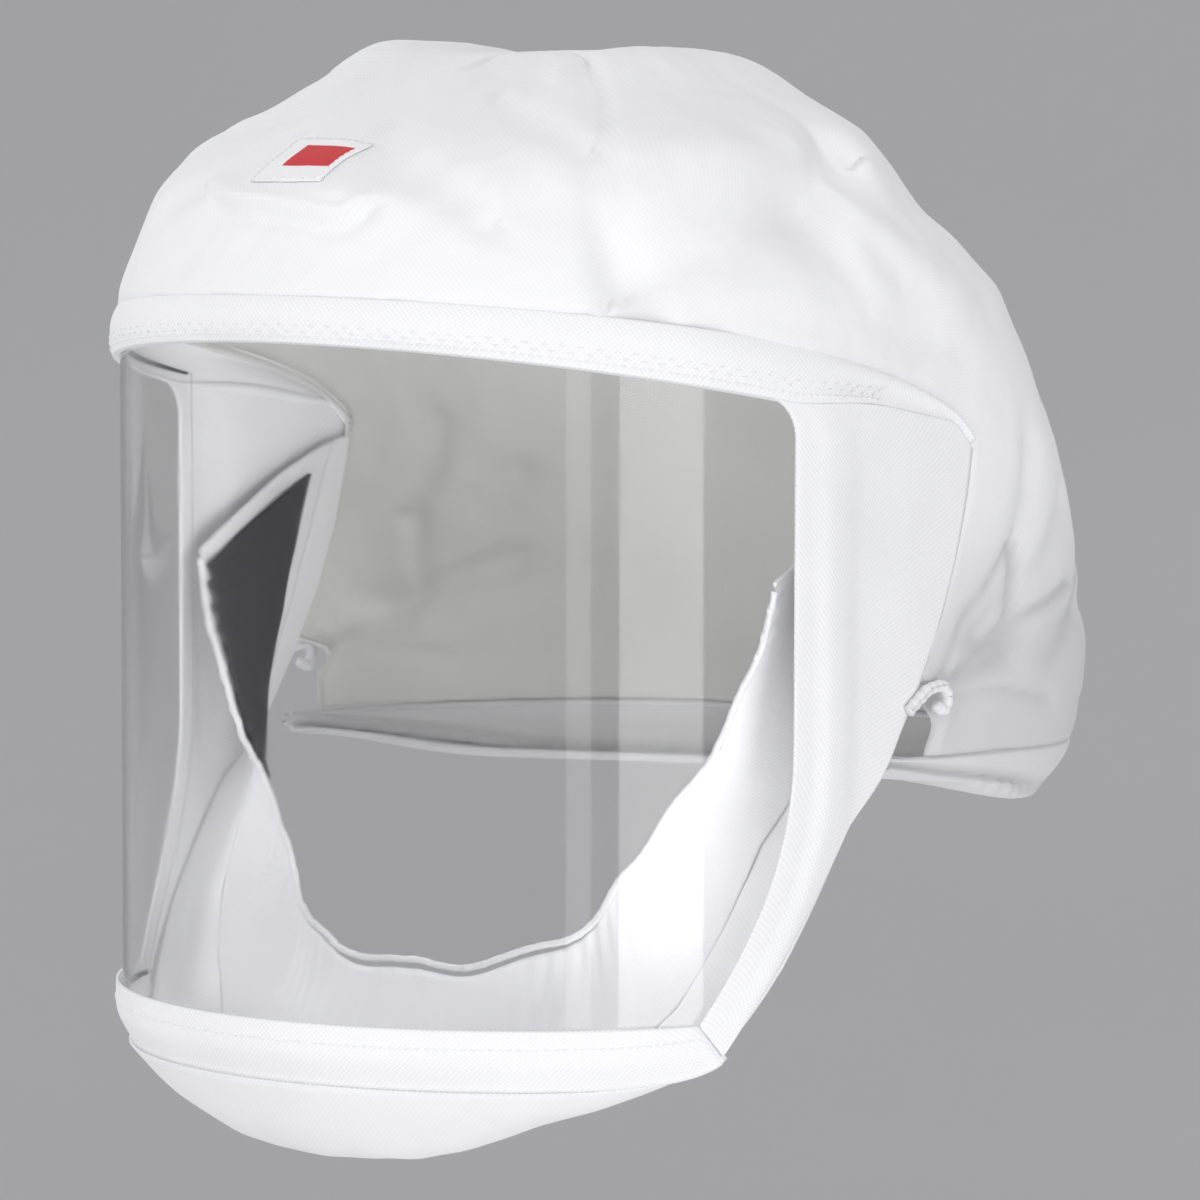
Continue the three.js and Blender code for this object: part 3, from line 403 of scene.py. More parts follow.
    def cloth_point(self, turn: np.ndarray, level: np.ndarray) -> np.ndarray:
        """Places on the cloth's outer face.

        Args:
            turn: from -1 to 1, 0 at the middle of the front and 1 at the middle of the back.
            level: as in the section table.
        Returns:
            Points in millimetres.
        """
        turn, level = np.broadcast_arrays(np.asarray(turn, float), np.asarray(level, float))
        table = {name: np.array(column, float) for name, column in zip(SECTION_COLUMNS, zip(*SECTIONS))}
        depth = np.sqrt(np.clip(1 - level, 0, None))
        last = math.sqrt(1 - table["level"][-1])
        places = np.sqrt(1 - table["level"])[::-1]
        at = np.maximum(depth, last)
        row = {name: smooth_read(places, table[name][::-1], at) for name in SECTION_COLUMNS[1:]}
        side = np.where(turn < 0, -1.0, 1.0)
        share = np.abs(turn)
        half = row["width"] * self.visor_radius
        middle = row["middle"] * self.panel_length
        bow = np.clip(share / self.front_share, 0, 1) * math.pi / 2
        stern = np.clip((share - self.back_share) / (1 - self.back_share), 0, 1) * math.pi / 2
        ahead, behind = share <= self.front_share, share >= self.back_share
        x = np.where(ahead, half * np.sin(bow) ** (2 / row["bow"]), half)
        x = np.where(behind, half * np.clip(np.cos(stern), 0, 1) ** (2 / row["stern"]), x)
        y = middle * (share - self.front_share) / (self.back_share - self.front_share)
        front = -row["front"] * self.visor_radius * np.clip(np.cos(bow), 0, 1) ** (2 / row["bow"])
        y = np.where(ahead, front, y)
        back = middle + (row["back"] * self.back_reach - middle) * np.sin(stern) ** (2 / row["stern"])
        y = np.where(behind, back, y)
        away = np.hypot(x, y - middle / 2) + 1e-6
        press = self.fold_depth(share, level, side) * np.minimum(1, row["width"] * 2)
        x, y = np.maximum(0, x - x / away * press), y - (y - middle / 2) / away * press
        pad = self.pad_rise * smooth_step(0.33, 0.42, level) * (1 - smooth_step(0.62, 0.8, level))
        y = y - pad * (1 - smooth_step(self.pad_turn * 0.7, self.pad_turn, share))
        cap = np.minimum(depth / last, 1)
        x, y = x * cap, self.seat_back + (y - self.seat_back) * cap
        apart = (2 * x - self.ridge_apart) / self.ridge_width
        rise = np.where(side > 0, self.ridge_left, self.ridge_right)
        lift = rise * np.exp(-apart * apart) * smooth_step(0.72, 0.95, level)
        return np.stack([side * x, y, self.level_height(level) + lift], axis=-1)

    def nape_share(self, y: np.ndarray) -> np.ndarray:
        """Share of the way from the side panel's heel to the back of the nape."""
        return (y - self.panel_heel) / (self.back_reach - self.panel_heel)

    def nape_crease(self, y: np.ndarray) -> np.ndarray:
        """Height of the crease over the hem band."""
        fall = self.hem_fall * self.crease_fall
        return self.hem_height + self.nape_band + fall * (1 - np.clip(self.nape_share(y), 0, 1))

    def nape_hem(self, y: np.ndarray) -> np.ndarray:
        """Height of the hem under the nape."""
        return self.hem_height + self.hem_fall * (1 - np.clip(self.nape_share(y), 0, 1)) ** 1.5

    def chin_depth(self, around: np.ndarray) -> np.ndarray:
        """How far the chin band reaches down, less at its rounded ends."""
        return self.chin_band * (1 - self.chin_end_lift * np.abs(around) ** 10)

    def chin_end(self, height: np.ndarray) -> np.ndarray:
        """Turn in radians where the chin band meets the side panel at a height."""
        foot = self.side_y(self.window_foot_turn)
        lean = self.cloth * math.cos(math.radians(self.window_foot_turn))
        y = foot + (self.toe[0] - foot) * height / self.toe[1] - 2 * self.gap - lean
        return np.arccos(-y / self.visor_radius)

    def chin_place(self, around: np.ndarray, height: np.ndarray, radius: np.ndarray) -> np.ndarray:
        """Places on the chin band, which runs a little behind the side panels' edges."""
        angle = around * (self.chin_end(height) + self.chin_wrap)
        return np.stack(np.broadcast_arrays(radius * np.sin(angle), -radius * np.cos(angle), height), axis=-1)

    def collar_point(self, around: np.ndarray, across: np.ndarray) -> np.ndarray:
        """Places on the inner collar.

        Args:
            around: from -1 to 1 with the chin at 0 and the temples at the ends.
            across: 0 at the facing, 1 at the face opening.
        Returns:
            Points in millimetres.
        """
        around, across = np.broadcast_arrays(np.asarray(around, float), np.asarray(across, float))
        at = np.abs(around)
        places = np.linspace(0, 1, len(STATIONS))
        table = {
            name: smooth_read(places, column, at) for name, column in zip(STATION_COLUMNS, zip(*STATIONS))
        }
        turn = np.radians(table["turn"])
        edge = np.vstack([self.toe, self.panel_back()])
        along = table["run"] * (len(edge) - 1)
        index = np.arange(len(edge))
        edge_y, edge_z = np.interp(along, index, edge[:, 0]), np.interp(along, index, edge[:, 1])
        radius = self.visor_radius - self.cloth - self.gap - self.seal_lean
        wide = np.sqrt(np.clip(radius ** 2 - np.minimum(edge_y, 0) ** 2, 0, None))
        drop = self.toe_drop * np.maximum(1 - table["run"] / self.toe_run, 0)
        side = np.stack([wide, edge_y - self.seal_cloth, edge_z - drop], axis=-1)
        rim = self.visor_radius - self.chin_roll - self.seal_cloth
        low = -self.chin_depth(np.minimum(turn / self.chin_end(self.toe[1]), 1)) - self.seam_gap
        chin = np.stack([rim * np.sin(turn), -rim * np.cos(turn), low], axis=-1)
        blend = smooth_step(0.0, 0.06, table["run"])[..., None]
        outer = chin * (1 - blend) + side * blend
        inner = np.stack([
            table["across"] * self.face_half_width,
            -table["back"] * self.chin_setback,
            self.chin_lift + table["rise"] * self.face_height,
        ], axis=-1)
        inwards = (inner - outer) * np.array([1, 1, 0])
        first, second = outer + inwards * 0.3, inner + inwards * 0.05
        first[..., 2] -= table["sag_out"] * self.chin_drop
        second[..., 2] -= table["sag_in"] * self.chin_drop
        point = bent(outer, first, second, inner, across[..., None])
        point[..., 2] += np.cos(around * self.ruffles * 2 * np.pi) * self.ruffle_depth * across ** 3
        point[..., 0] *= np.where(around < 0, -1, 1)
        return point

    def chin_share(self, around: np.ndarray) -> np.ndarray:
        """Share of the collar that the outer chin cloth takes, widest under the chin."""
        return 0.1 + 0.38 * np.clip(np.cos(around * math.pi / 2), 0, 1) ** 0.8

    def to_metres(self, points: np.ndarray) -> np.ndarray:
        """Points of the cut in the shared frame, in metres."""
        top = self.brow_top + self.dome_height
        return (points - np.array([0, self.seat_back, top - self.cloth])) * MM


# ---------------------------------------------------------------- making meshes


def grid_normals(grid: np.ndarray) -> np.ndarray:
    """Unit normals of a grid of points, along its columns crossed with up its rows."""
    along, up = np.gradient(grid, axis=1), np.gradient(grid, axis=0)
    normal = np.cross(along, up)
    return normal / (np.linalg.norm(normal, axis=-1, keepdims=True) + 1e-9)


def grid_lengths(grid: np.ndarray, origin: int | None = None) -> np.ndarray:
    """How far each point lies along its row, from the origin column or the middle, and up its column."""
    along = np.linalg.norm(np.diff(grid, axis=1), axis=-1)
    up = np.linalg.norm(np.diff(grid, axis=0), axis=-1)
    u = np.hstack([np.zeros((grid.shape[0], 1)), np.cumsum(along, axis=1)])
    u -= u[:, [grid.shape[1] // 2 if origin is None else origin]]
    v = np.vstack([np.zeros((1, grid.shape[1])), np.cumsum(up, axis=0)])
    return np.stack([u, v], axis=-1)


def on_side(grid: np.ndarray, side: int) -> np.ndarray:
    """A grid made for the wearer's left, kept there or mirrored to the right."""
    return grid if side > 0 else (grid * [-1, 1, 1])[:, ::-1]


@dataclass
class Piece:
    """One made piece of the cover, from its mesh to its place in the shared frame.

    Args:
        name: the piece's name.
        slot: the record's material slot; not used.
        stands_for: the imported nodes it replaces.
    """

    name: str
    slot: Slot
    stands_for: tuple[str, ...] = ()

    def from_grids(self, grids: list[np.ndarray], lengths: list[np.ndarray] | None = None,
                   closed_rows: bool = False, painted_shade: list[np.ndarray] | None = None) -> bpy.types.Object:
        """Builds one smooth surface from grids of points that share their edges.

        Args:
            grids: rows of points in metres, each counted so that the outside faces outwards.
            lengths: how far each point lies along and up the cloth, or None to measure it.
            closed_rows: True where each row is a closed loop.
            painted_shade: how much painted shade greys each point, from 0 to 1, or None for none.
        Returns:
            The new object.
        """
        lengths = lengths or [grid_lengths(grid) for grid in grids]
        vertices, faces, spread = [], [], np.concatenate([places.reshape(-1, 2) for places in lengths])
        for grid in grids:
            rows, columns = grid.shape[:2]
            start = len(vertices)
            vertices.extend(grid.reshape(-1, 3).tolist())
            for r in range(rows - 1):
                for c in range(columns if closed_rows else columns - 1):
                    a, b = start + r * columns + c, start + r * columns + (c + 1) % columns
                    faces.append((a, b, b + columns, a + columns))
        mesh = bpy.data.meshes.new(self.name)
        mesh.from_pydata(vertices, [], faces)
        layer = mesh.uv_layers.new(name="cloth_metres")
        corners = np.empty(len(mesh.loops), dtype=np.int64)
        mesh.loops.foreach_get("vertex_index", corners)
        layer.data.foreach_set("uv", spread[corners].reshape(-1))
        if painted_shade is not None:
            shade = np.concatenate([shade_map.reshape(-1) for shade_map in painted_shade])
            pairs = np.column_stack([shade, np.zeros_like(shade)])
            mesh.uv_layers.new(name="crease_marks").data.foreach_set("uv", pairs[corners].reshape(-1))
        work = bmesh.new()
        work.from_mesh(mesh)
        bmesh.ops.remove_doubles(work, verts=work.verts, dist=1e-6)
        bmesh.ops.dissolve_degenerate(work, edges=work.edges, dist=1e-7)
        work.to_mesh(mesh)
        work.free()
        mesh.polygons.foreach_set("use_smooth", [True] * len(mesh.polygons))
        thing = bpy.data.objects.new(self.name, mesh)
        bpy.context.scene.collection.objects.link(thing)
        return thing

    def walled(self, grids: list[np.ndarray], thickness: float, finish: bpy.types.Material,
               lengths: list[np.ndarray] | None = None,
               painted_shade: list[np.ndarray] | None = None) -> bpy.types.Object:
        """Builds a surface with its wall, inwards from its outer face, in its place and finish.

        Args:
            grids: rows of points in metres.
            thickness: the wall in millimetres.
            finish: its material.
            lengths: how far each point lies along and up the cloth, or None to measure it.
            painted_shade: how much painted shade greys each point, or None for none.
        Returns:
            The new object.
        """
        thing = self.from_grids(grids, lengths, painted_shade=painted_shade)
        wall = thing.modifiers.new("wall", "SOLIDIFY")
        wall.thickness, wall.offset, wall.use_even_offset = thickness * MM, -1, False
        self.apply_all(thing)
        return self.dress(thing, finish)

    def tube(self, rings: np.ndarray, finish: bpy.types.Material) -> bpy.types.Object:
        """Builds a tube with closed ends from rings of points in metres, in its place and finish."""
        thing = self.from_grids([rings], closed_rows=True)
        work = bmesh.new()
        work.from_mesh(thing.data)
        bmesh.ops.holes_fill(work, edges=[edge for edge in work.edges if edge.is_boundary], sides=0)
        bmesh.ops.recalc_face_normals(work, faces=work.faces)
        work.to_mesh(thing.data)
        work.free()
        thing.data.polygons.foreach_set("use_smooth", [True] * len(thing.data.polygons))
        return self.dress(thing, finish)

    def apply_all(self, thing: bpy.types.Object) -> None:
        """Turns an object's evaluated shape into a plain mesh and drops its modifiers."""
        plain = bpy.data.meshes.new_from_object(thing.evaluated_get(bpy.context.evaluated_depsgraph_get()))
        old = thing.data
        thing.modifiers.clear()
        thing.data = plain
        bpy.data.meshes.remove(old)
        plain.name = self.name
        plain.polygons.foreach_set("use_smooth", [True] * len(plain.polygons))

    def paint_inner_shade(self, thing: bpy.types.Object, finish: bpy.types.Material, middle: np.ndarray) -> None:
        """Gives the faces that look towards the middle of the head, in metres, a darker finish: painted shade
        inside the hood.
        """
        faces = thing.data.polygons
        normals, centres = np.empty(len(faces) * 3), np.empty(len(faces) * 3)
        faces.foreach_get("normal", normals)
        faces.foreach_get("center", centres)
        off = centres.reshape(-1, 3) - middle
        inner = np.sum(normals.reshape(-1, 3) * off, axis=1) < -0.3 * np.linalg.norm(off, axis=1)
        thing.data.materials.append(finish)
        faces.foreach_set("material_index", inner.astype(np.int32))

    def dress(self, thing: bpy.types.Object, finish: bpy.types.Material) -> bpy.types.Object:
        """Places the finished object in the shared frame with its material, and reports it."""
        thing.data.materials.clear()
        thing.data.materials.append(finish)
        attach(thing, "root")
        if self.stands_for:
            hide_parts(*self.stands_for)
        area = sum(face.area for face in thing.data.polygons)
        LOG.info("%s: %d faces, %.4f square metres", self.name, len(thing.data.polygons), area)
        return thing


# ---------------------------------------------------------------- finishes


class Graph:
    """A small helper that adds and joins shader nodes."""

    def __init__(self, tree: bpy.types.NodeTree) -> None:
        """Keeps the node tree."""
        self.tree = tree

    def add(self, kind: str, values: dict | None = None, **settings: object) -> bpy.types.Node:
        """Adds a node.

        Args:
            kind: the node's type.
            values: input values or sockets to join, by input name or number.
            settings: the node's own settings.
        Returns:
            The new node.
        """
        node = self.tree.nodes.new(kind)
        for key, value in settings.items():
            setattr(node, key, value)
        for key, value in (values or {}).items():
            if isinstance(value, bpy.types.NodeSocket):
                self.tree.links.new(value, node.inputs[key])
            else:
                node.inputs[key].default_value = value
        return node

    def group(self, tree: bpy.types.NodeTree, values: dict) -> bpy.types.Node:
        """Places a shared effect with its own values."""
        return self.add("ShaderNodeGroup", values, node_tree=tree)

    def math(self, operation: str, a: object, b: object = 0.0) -> bpy.types.NodeSocket:
        """Adds a math node and gives its result."""
        return self.add("ShaderNodeMath", {0: a, 1: b}, operation=operation).outputs[0]

    def ramp(self, value: bpy.types.NodeSocket, span: tuple[float, float],
             out: tuple[float, float]) -> bpy.types.NodeSocket:
        """Adds a map range node and gives its result."""
        values = {"Value": value, "From Min": span[0], "From Max": span[1], "To Min": out[0], "To Max": out[1]}
        return self.add("ShaderNodeMapRange", values, clamp=True).outputs["Result"]

    def blend(self, share: object, a: object, b: object) -> bpy.types.NodeSocket:
        """Adds a colour mix node and gives its result."""
        return self.add("ShaderNodeMix", {0: share, 6: a, 7: b}, data_type="RGBA").outputs[2]


def named_group(name: str, inputs: dict[str, float | None],
                outputs: tuple[str, ...]) -> tuple[Graph, dict, dict]:
    """Starts a shader node group with named sockets.

    Args:
        name: the group's name.
        inputs: default by input name, or None for a place.
        outputs: names of the outputs, all values.
    Returns:
        The group's graph, its input sockets and its output sockets.
    """
    tree = bpy.data.node_groups.new(name, "ShaderNodeTree")
    for label, value in inputs.items():
        kind = "NodeSocketVector" if value is None else "NodeSocketFloat"
        socket = tree.interface.new_socket(label, in_out="INPUT", socket_type=kind)
        if value is not None:
            socket.default_value = value
    for label in outputs:
        tree.interface.new_socket(label, in_out="OUTPUT", socket_type="NodeSocketFloat")
    graph = Graph(tree)
    start, end = tree.nodes.new("NodeGroupInput"), tree.nodes.new("NodeGroupOutput")
    return graph, {key: start.outputs[key] for key in inputs}, {key: end.inputs[key] for key in outputs}


class Effects:
    """The shared effects: weave, crumple and soil, each built once."""

    def __init__(self) -> None:
        """Builds the groups."""
        self.weave = self._weave()
        self.crumple = self._crumple()
        self.soil = self._soil()

    @staticmethod
    def _weave() -> bpy.types.NodeTree:
        """Diagonal woven threads: a height and a mask of the thread tops."""
        graph, given, out = named_group(
            "woven_threads", {"Cloth": None, "Thread Pitch": 0.0009, "Slant": 1.0}, ("Height", "Thread Tops"))
        split = graph.add("ShaderNodeSeparateXYZ", {0: given["Cloth"]})
        across = graph.math("DIVIDE", split.outputs[0], given["Thread Pitch"])
        up = graph.math("DIVIDE", split.outputs[1], given["Thread Pitch"])
        waves = []
        for way in ("ADD", "SUBTRACT"):
            slanted = graph.math(way, across, graph.math("MULTIPLY", up, given["Slant"]))
            wave = graph.math("SINE", graph.math("MULTIPLY", slanted, 2 * math.pi))
            waves.append(graph.math("MULTIPLY", wave, 0.5))
        height = graph.math("ADD", *waves)
        uneven = graph.add("ShaderNodeTexNoise", {"Vector": given["Cloth"], "Scale": 900.0, "Detail": 2.0})
        height = graph.math("ADD", height, graph.math("MULTIPLY", uneven.outputs["Fac"], 0.8))
        graph.tree.links.new(height, out["Height"])
        graph.tree.links.new(graph.ramp(height, (-0.6, 1.4), (0, 1)), out["Thread Tops"])
        return graph.tree

    @staticmethod
    def _crumple() -> bpy.types.NodeTree:
        """Soft small dents of light cloth: a height."""
        graph, given, out = named_group(
            "crumple", {"Place": None, "Scale": 60.0, "Fine Scale": 420.0}, ("Height",))
        broad = graph.add("ShaderNodeTexNoise", {
            "Vector": given["Place"], "Scale": given["Scale"], "Detail": 3.0, "Distortion": 0.6})
        crest = graph.math("ABSOLUTE", graph.math("SUBTRACT", broad.outputs["Fac"], 0.5))
        fine = graph.add("ShaderNodeTexNoise", {
            "Vector": given["Place"], "Scale": given["Fine Scale"], "Detail": 2.0})
        grain = graph.math("MULTIPLY", fine.outputs["Fac"], 0.18)
        graph.tree.links.new(graph.math("ADD", graph.math("MULTIPLY", crest, 2.4), grain), out["Height"])
        return graph.tree

    @staticmethod
    def _soil() -> bpy.types.NodeTree:
        """Faint uneven greying: a mask."""
        graph, given, out = named_group("soil", {"Place": None, "Scale": 14.0, "Amount": 0.3}, ("Mask",))
        patches = graph.add("ShaderNodeTexNoise", {
            "Vector": given["Place"], "Scale": given["Scale"], "Detail": 4.0, "Roughness": 0.6})
        mask = graph.ramp(patches.outputs["Fac"], (0.42, 0.75), (0, 1))
        graph.tree.links.new(graph.math("MULTIPLY", mask, given["Amount"]), out["Mask"])
        return graph.tree


def linear(red: int, green: int, blue: int) -> tuple[float, float, float, float]:
    """A colour seen on a screen, 0 to 255 a channel, as the shader's own values."""
    def part(value: float) -> float:
        """One channel."""
        value /= 255
        return value / 12.92 if value <= 0.04045 else ((value + 0.055) / 1.055) ** 2.4
    return part(red), part(green), part(blue), 1.0


@dataclass(frozen=True)
class ClothFinish:
    """A woven or spun cloth.

    Args:
        name: the finish's name.
        light: colour of the thread tops.
        dark: colour between the threads.
        pitch: distance between the threads in metres.
        weave_depth: how deep the weave looks, in metres.
        crumple_depth: how deep the small dents look, in metres.
        crumple_scale: dents in a metre.
        rough: roughness of the threads.
        soil: how much grey gathers in patches.
        sheen: soft light along the edges.
        bar: colour of a bar across the cloth's middle, or None for no bar.
        bar_at: the bar's middle along and up the cloth in metres.
        bar_box: half the bar's length and height.
        shade_strength: how strongly the piece's painted shade, in creases and low parts, greys the colour.
        by_place: True where the threads follow the piece's place in space, as on sewing thread.
    """

    name: str
    light: tuple[float, float, float, float]
    dark: tuple[float, float, float, float]
    pitch: float = 0.0009
    weave_depth: float = 0.00005
    crumple_depth: float = 0.0004
    crumple_scale: float = 60.0
    rough: float = 0.8
    soil: float = 0.25
    sheen: float = 0.15
    bar: tuple[float, float, float, float] | None = None
    bar_at: tuple[float, float] = (0.0, 0.0)
    bar_box: tuple[float, float] = (0.0, 0.0)
    by_place: bool = False
    shade_strength: float = 0.0

    def build(self, effects: Effects) -> bpy.types.Material:
        """Makes the material with the shared effects."""
        material = bpy.data.materials.new(self.name)
        material.use_nodes = True
        graph = Graph(material.node_tree)
        shader = material.node_tree.nodes["Principled BSDF"]
        place = graph.add("ShaderNodeTexCoord")
        cloth, here = place.outputs["Object" if self.by_place else "UV"], place.outputs["Object"]
        weave = graph.group(effects.weave, {"Cloth": cloth, "Thread Pitch": self.pitch})
        dents = graph.group(effects.crumple, {"Place": here, "Scale": self.crumple_scale})
        soil = graph.group(effects.soil, {"Place": here, "Amount": self.soil})
        colour = graph.blend(weave.outputs["Thread Tops"], self.dark, self.light)
        # The grey serves both the soil patches and the painted shade.
        grey = tuple(c * f for c, f in zip(self.light[:3], (0.56, 0.56, 0.57))) + (1.0,)
        colour = graph.blend(soil.outputs["Mask"], colour, grey)
        # Painted shade: the piece's shade map greys the colour where creases and low parts lie in shade.
        if self.shade_strength:
            shade_map = graph.add("ShaderNodeUVMap", uv_map="crease_marks")
            split = graph.add("ShaderNodeSeparateXYZ", {0: shade_map.outputs[0]})
            colour = graph.blend(graph.math("MULTIPLY", split.outputs[0], self.shade_strength), colour, grey)
        if self.bar is not None:
            colour = graph.blend(self._bar(graph, cloth), colour, self.bar)
        tree = material.node_tree
        tree.links.new(colour, shader.inputs["Base Color"])
        rough = graph.ramp(weave.outputs["Thread Tops"], (0, 1), (min(self.rough + 0.1, 1), self.rough - 0.06))
        tree.links.new(rough, shader.inputs["Roughness"])
        height = graph.math(
            "ADD",
            graph.math("MULTIPLY", weave.outputs["Height"], self.weave_depth),
            graph.math("MULTIPLY", dents.outputs["Height"], self.crumple_depth),
        )
        bump = graph.add("ShaderNodeBump", {"Height": height, "Strength": 1.0, "Distance": 1.0})
        tree.links.new(bump.outputs["Normal"], shader.inputs["Normal"])
        shader.inputs["Sheen Weight"].default_value = self.sheen
        shader.inputs["Sheen Roughness"].default_value = 0.5
        shader.inputs["Specular IOR Level"].default_value = 0.25
        return material

    def _bar(self, graph: Graph, cloth: bpy.types.NodeSocket) -> bpy.types.NodeSocket:
        """A mask of the plain coloured bar across the middle of the patch."""
        split = graph.add("ShaderNodeSeparateXYZ", {0: cloth})
        sides = []
        for value, middle, half in zip(split.outputs, self.bar_at, self.bar_box):
            off = graph.math("SUBTRACT", value, middle)
            sides.append(graph.ramp(graph.math("ABSOLUTE", off), (half - 0.0002, half + 0.0002), (1, 0)))
        return graph.math("MULTIPLY", sides[0], sides[1])


@dataclass(frozen=True)
class ClearFinish:
    """The clear visor sheet, faintly scuffed.

    Args:
        name: the finish's name.
        tint: colour of the light let through.
        rough: roughness of the clean sheet.
    """

    name: str
    tint: tuple[float, float, float, float]
    rough: float = 0.04

    def build(self, effects: Effects) -> bpy.types.Material:
        """Makes the material, which lets lamps through by their shadow rays."""
        material = bpy.data.materials.new(self.name)
        material.use_nodes = True
        tree = material.node_tree
        graph = Graph(tree)
        shader = tree.nodes["Principled BSDF"]
        place = graph.add("ShaderNodeTexCoord")
        scuff = graph.add("ShaderNodeTexNoise", {
            "Vector": place.outputs["Object"], "Scale": 38.0, "Detail": 5.0})
        rough = graph.ramp(scuff.outputs["Fac"], (0.45, 0.8), (self.rough, self.rough + 0.05))
        tree.links.new(rough, shader.inputs["Roughness"])
        soil = graph.group(effects.soil, {"Place": place.outputs["Object"], "Amount": 0.12})
        grey = tuple(c * 0.8 for c in self.tint[:3]) + (1.0,)
        tree.links.new(graph.blend(soil.outputs["Mask"], self.tint, grey), shader.inputs["Base Color"])
        shader.inputs["Transmission Weight"].default_value = 1.0
        shader.inputs["IOR"].default_value = 1.25
        clear = graph.add("ShaderNodeBsdfTransparent", {"Color": self.tint})
        path = graph.add("ShaderNodeLightPath")
        mix = graph.add("ShaderNodeMixShader", {0: path.outputs["Is Shadow Ray"], 1: shader.outputs[0],
                                                2: clear.outputs[0]})
        tree.links.new(mix.outputs[0], tree.nodes["Material Output"].inputs["Surface"])
        return material


@dataclass
class Finishes:
    """All finishes of the cover, made once."""

    effects: Effects = field(default_factory=Effects)
    crown: bpy.types.Material = None
    inside: bpy.types.Material = None
    facing: bpy.types.Material = None
    seal: bpy.types.Material = None
    elastic: bpy.types.Material = None
    lining: bpy.types.Material = None
    patch: bpy.types.Material = None
    thread: bpy.types.Material = None
    visor: bpy.types.Material = None

    def __post_init__(self) -> None:
        """Builds each finish."""
        # The crown cloth greys its painted crease and nape shade at three quarters strength.
        self.crown = ClothFinish(
            "crown_cloth", linear(242, 242, 243), linear(236, 236, 238), pitch=0.00145, weave_depth=0.00001,
            crumple_depth=0.00022, crumple_scale=34, soil=0.1, shade_strength=0.75).build(self.effects)
        # A darker copy of the crown cloth for its inner faces: painted shade inside the hood.
        self.inside = ClothFinish(
            "crown_inside_painted_shade", linear(222, 222, 220), linear(215, 215, 213), pitch=0.00145, weave_depth=0.00001,
            crumple_depth=0.0002, crumple_scale=34, soil=0.2).build(self.effects)
        self.facing = ClothFinish(
            "facing_twill", linear(246, 246, 248), linear(232, 232, 235), pitch=0.00145,
            weave_depth=0.00003, crumple_depth=0.00018, crumple_scale=26, soil=0.12).build(self.effects)
        self.seal = ClothFinish(
            "seal_cloth", linear(240, 240, 242), linear(230, 230, 234), weave_depth=0.000012,
            crumple_depth=0.0003, crumple_scale=48, rough=0.88, soil=0.2).build(self.effects)
        self.elastic = ClothFinish(
            "gathered_elastic", linear(240, 240, 242), linear(226, 226, 230), pitch=0.0012,
            weave_depth=0.00003, crumple_depth=0.00008, crumple_scale=140, rough=0.9).build(self.effects)
        # A dark cloth that paints the shade seen beyond the face opening at the cheeks.
        self.lining = ClothFinish(
            "dark_shade_sheet", linear(74, 74, 78), linear(50, 50, 54), pitch=0.0012, weave_depth=0.00006,
            crumple_depth=0.0003, rough=0.92, soil=0.3, sheen=0.05).build(self.effects)
        self.patch = ClothFinish(
            "patch_satin", linear(250, 250, 250), linear(236, 236, 238), pitch=0.0007,
            weave_depth=0.00002, crumple_depth=0.00006, rough=0.6, soil=0.05,
            bar=linear(206, 40, 48), bar_at=(0.0024, 0.0125), bar_box=(0.0082, 0.0058)).build(self.effects)
        self.thread = ClothFinish(
            "sewing_thread", linear(244, 244, 246), linear(230, 230, 234), pitch=0.0004,
            weave_depth=0.00001, crumple_depth=0.00002, rough=0.7, soil=0.1, by_place=True).build(self.effects)
        self.visor = ClearFinish("clear_sheet", linear(251, 251, 251)).build(self.effects)


# ---------------------------------------------------------------- sub-assemblies


def share_rows(low: np.ndarray, high: np.ndarray, shares: np.ndarray) -> np.ndarray:
    """Rows between two rows of numbers, one for each share."""
    return low[None, :] + (high - low)[None, :] * shares[:, None]


@dataclass(frozen=True)
class Fold:
    """One fold of the crown's cloth, a soft valley or a soft step along a line.

    Args:
        line: its places as (turn, level), with turn 0 at the front's middle and 1 at the back's.
        depth: how deep its valley is in millimetres, or how high its ridge where negative.
        step: how far the cloth above the line stands out and that below it lies in.
        width: how broad it is in millimetres.
        side: 1 the wearer's left, -1 the right, 0 both.
        sharp: 0 for a round valley, 1 for a pinched one.
    """

    line: tuple[tuple[float, float], ...]
    depth: float = 0.0
    step: float = 0.0
    width: float = 6.0
    side: int = 0
    sharp: float = 0.0

    def lift(self, cut: Cut, turn: np.ndarray, level: np.ndarray) -> np.ndarray:
        """How far the fold moves the cloth outwards.

        Args:
            cut: the cover's sizes.
            turn: the cloth's places, negative to the wearer's right.
            level: as in the section table.
        Returns:
            Millimetres at each place.
        """
        loop = cut.back_reach + cut.visor_radius * 1.4
        x, z = np.abs(turn) * loop, cut.level_height(level)
        if any(place[0] < 0 for place in self.line):
            x = turn * loop
        line = np.array(self.line, float)
        line = np.column_stack([line[:, 0] * loop, cut.level_height(line[:, 1])])
        best = np.full(x.shape, 1e9)
        above = np.ones(x.shape)
        for a, b in zip(line[:-1], line[1:]):
            run = b - a
            share = np.clip(((x - a[0]) * run[0] + (z - a[1]) * run[1]) / (run @ run), 0, 1)
            off_x, off_z = x - a[0] - share * run[0], z - a[1] - share * run[1]
            away = np.hypot(off_x, off_z)
            closer = away < best
            above = np.where(closer, np.sign(run[0] * off_z - run[1] * off_x), above)
            best = np.minimum(best, away)
        share = best / self.width
        valley = (1 - self.sharp) * np.exp(-share ** 2) + self.sharp * np.exp(-share * 1.6)
        bend = above * share * np.exp(-share ** 2) * 2.3
        out = self.step * bend - self.depth * valley
        if self.side == 0:
            return out
        return np.where(np.where(turn < 0, -1, 1) == self.side, out, 0)


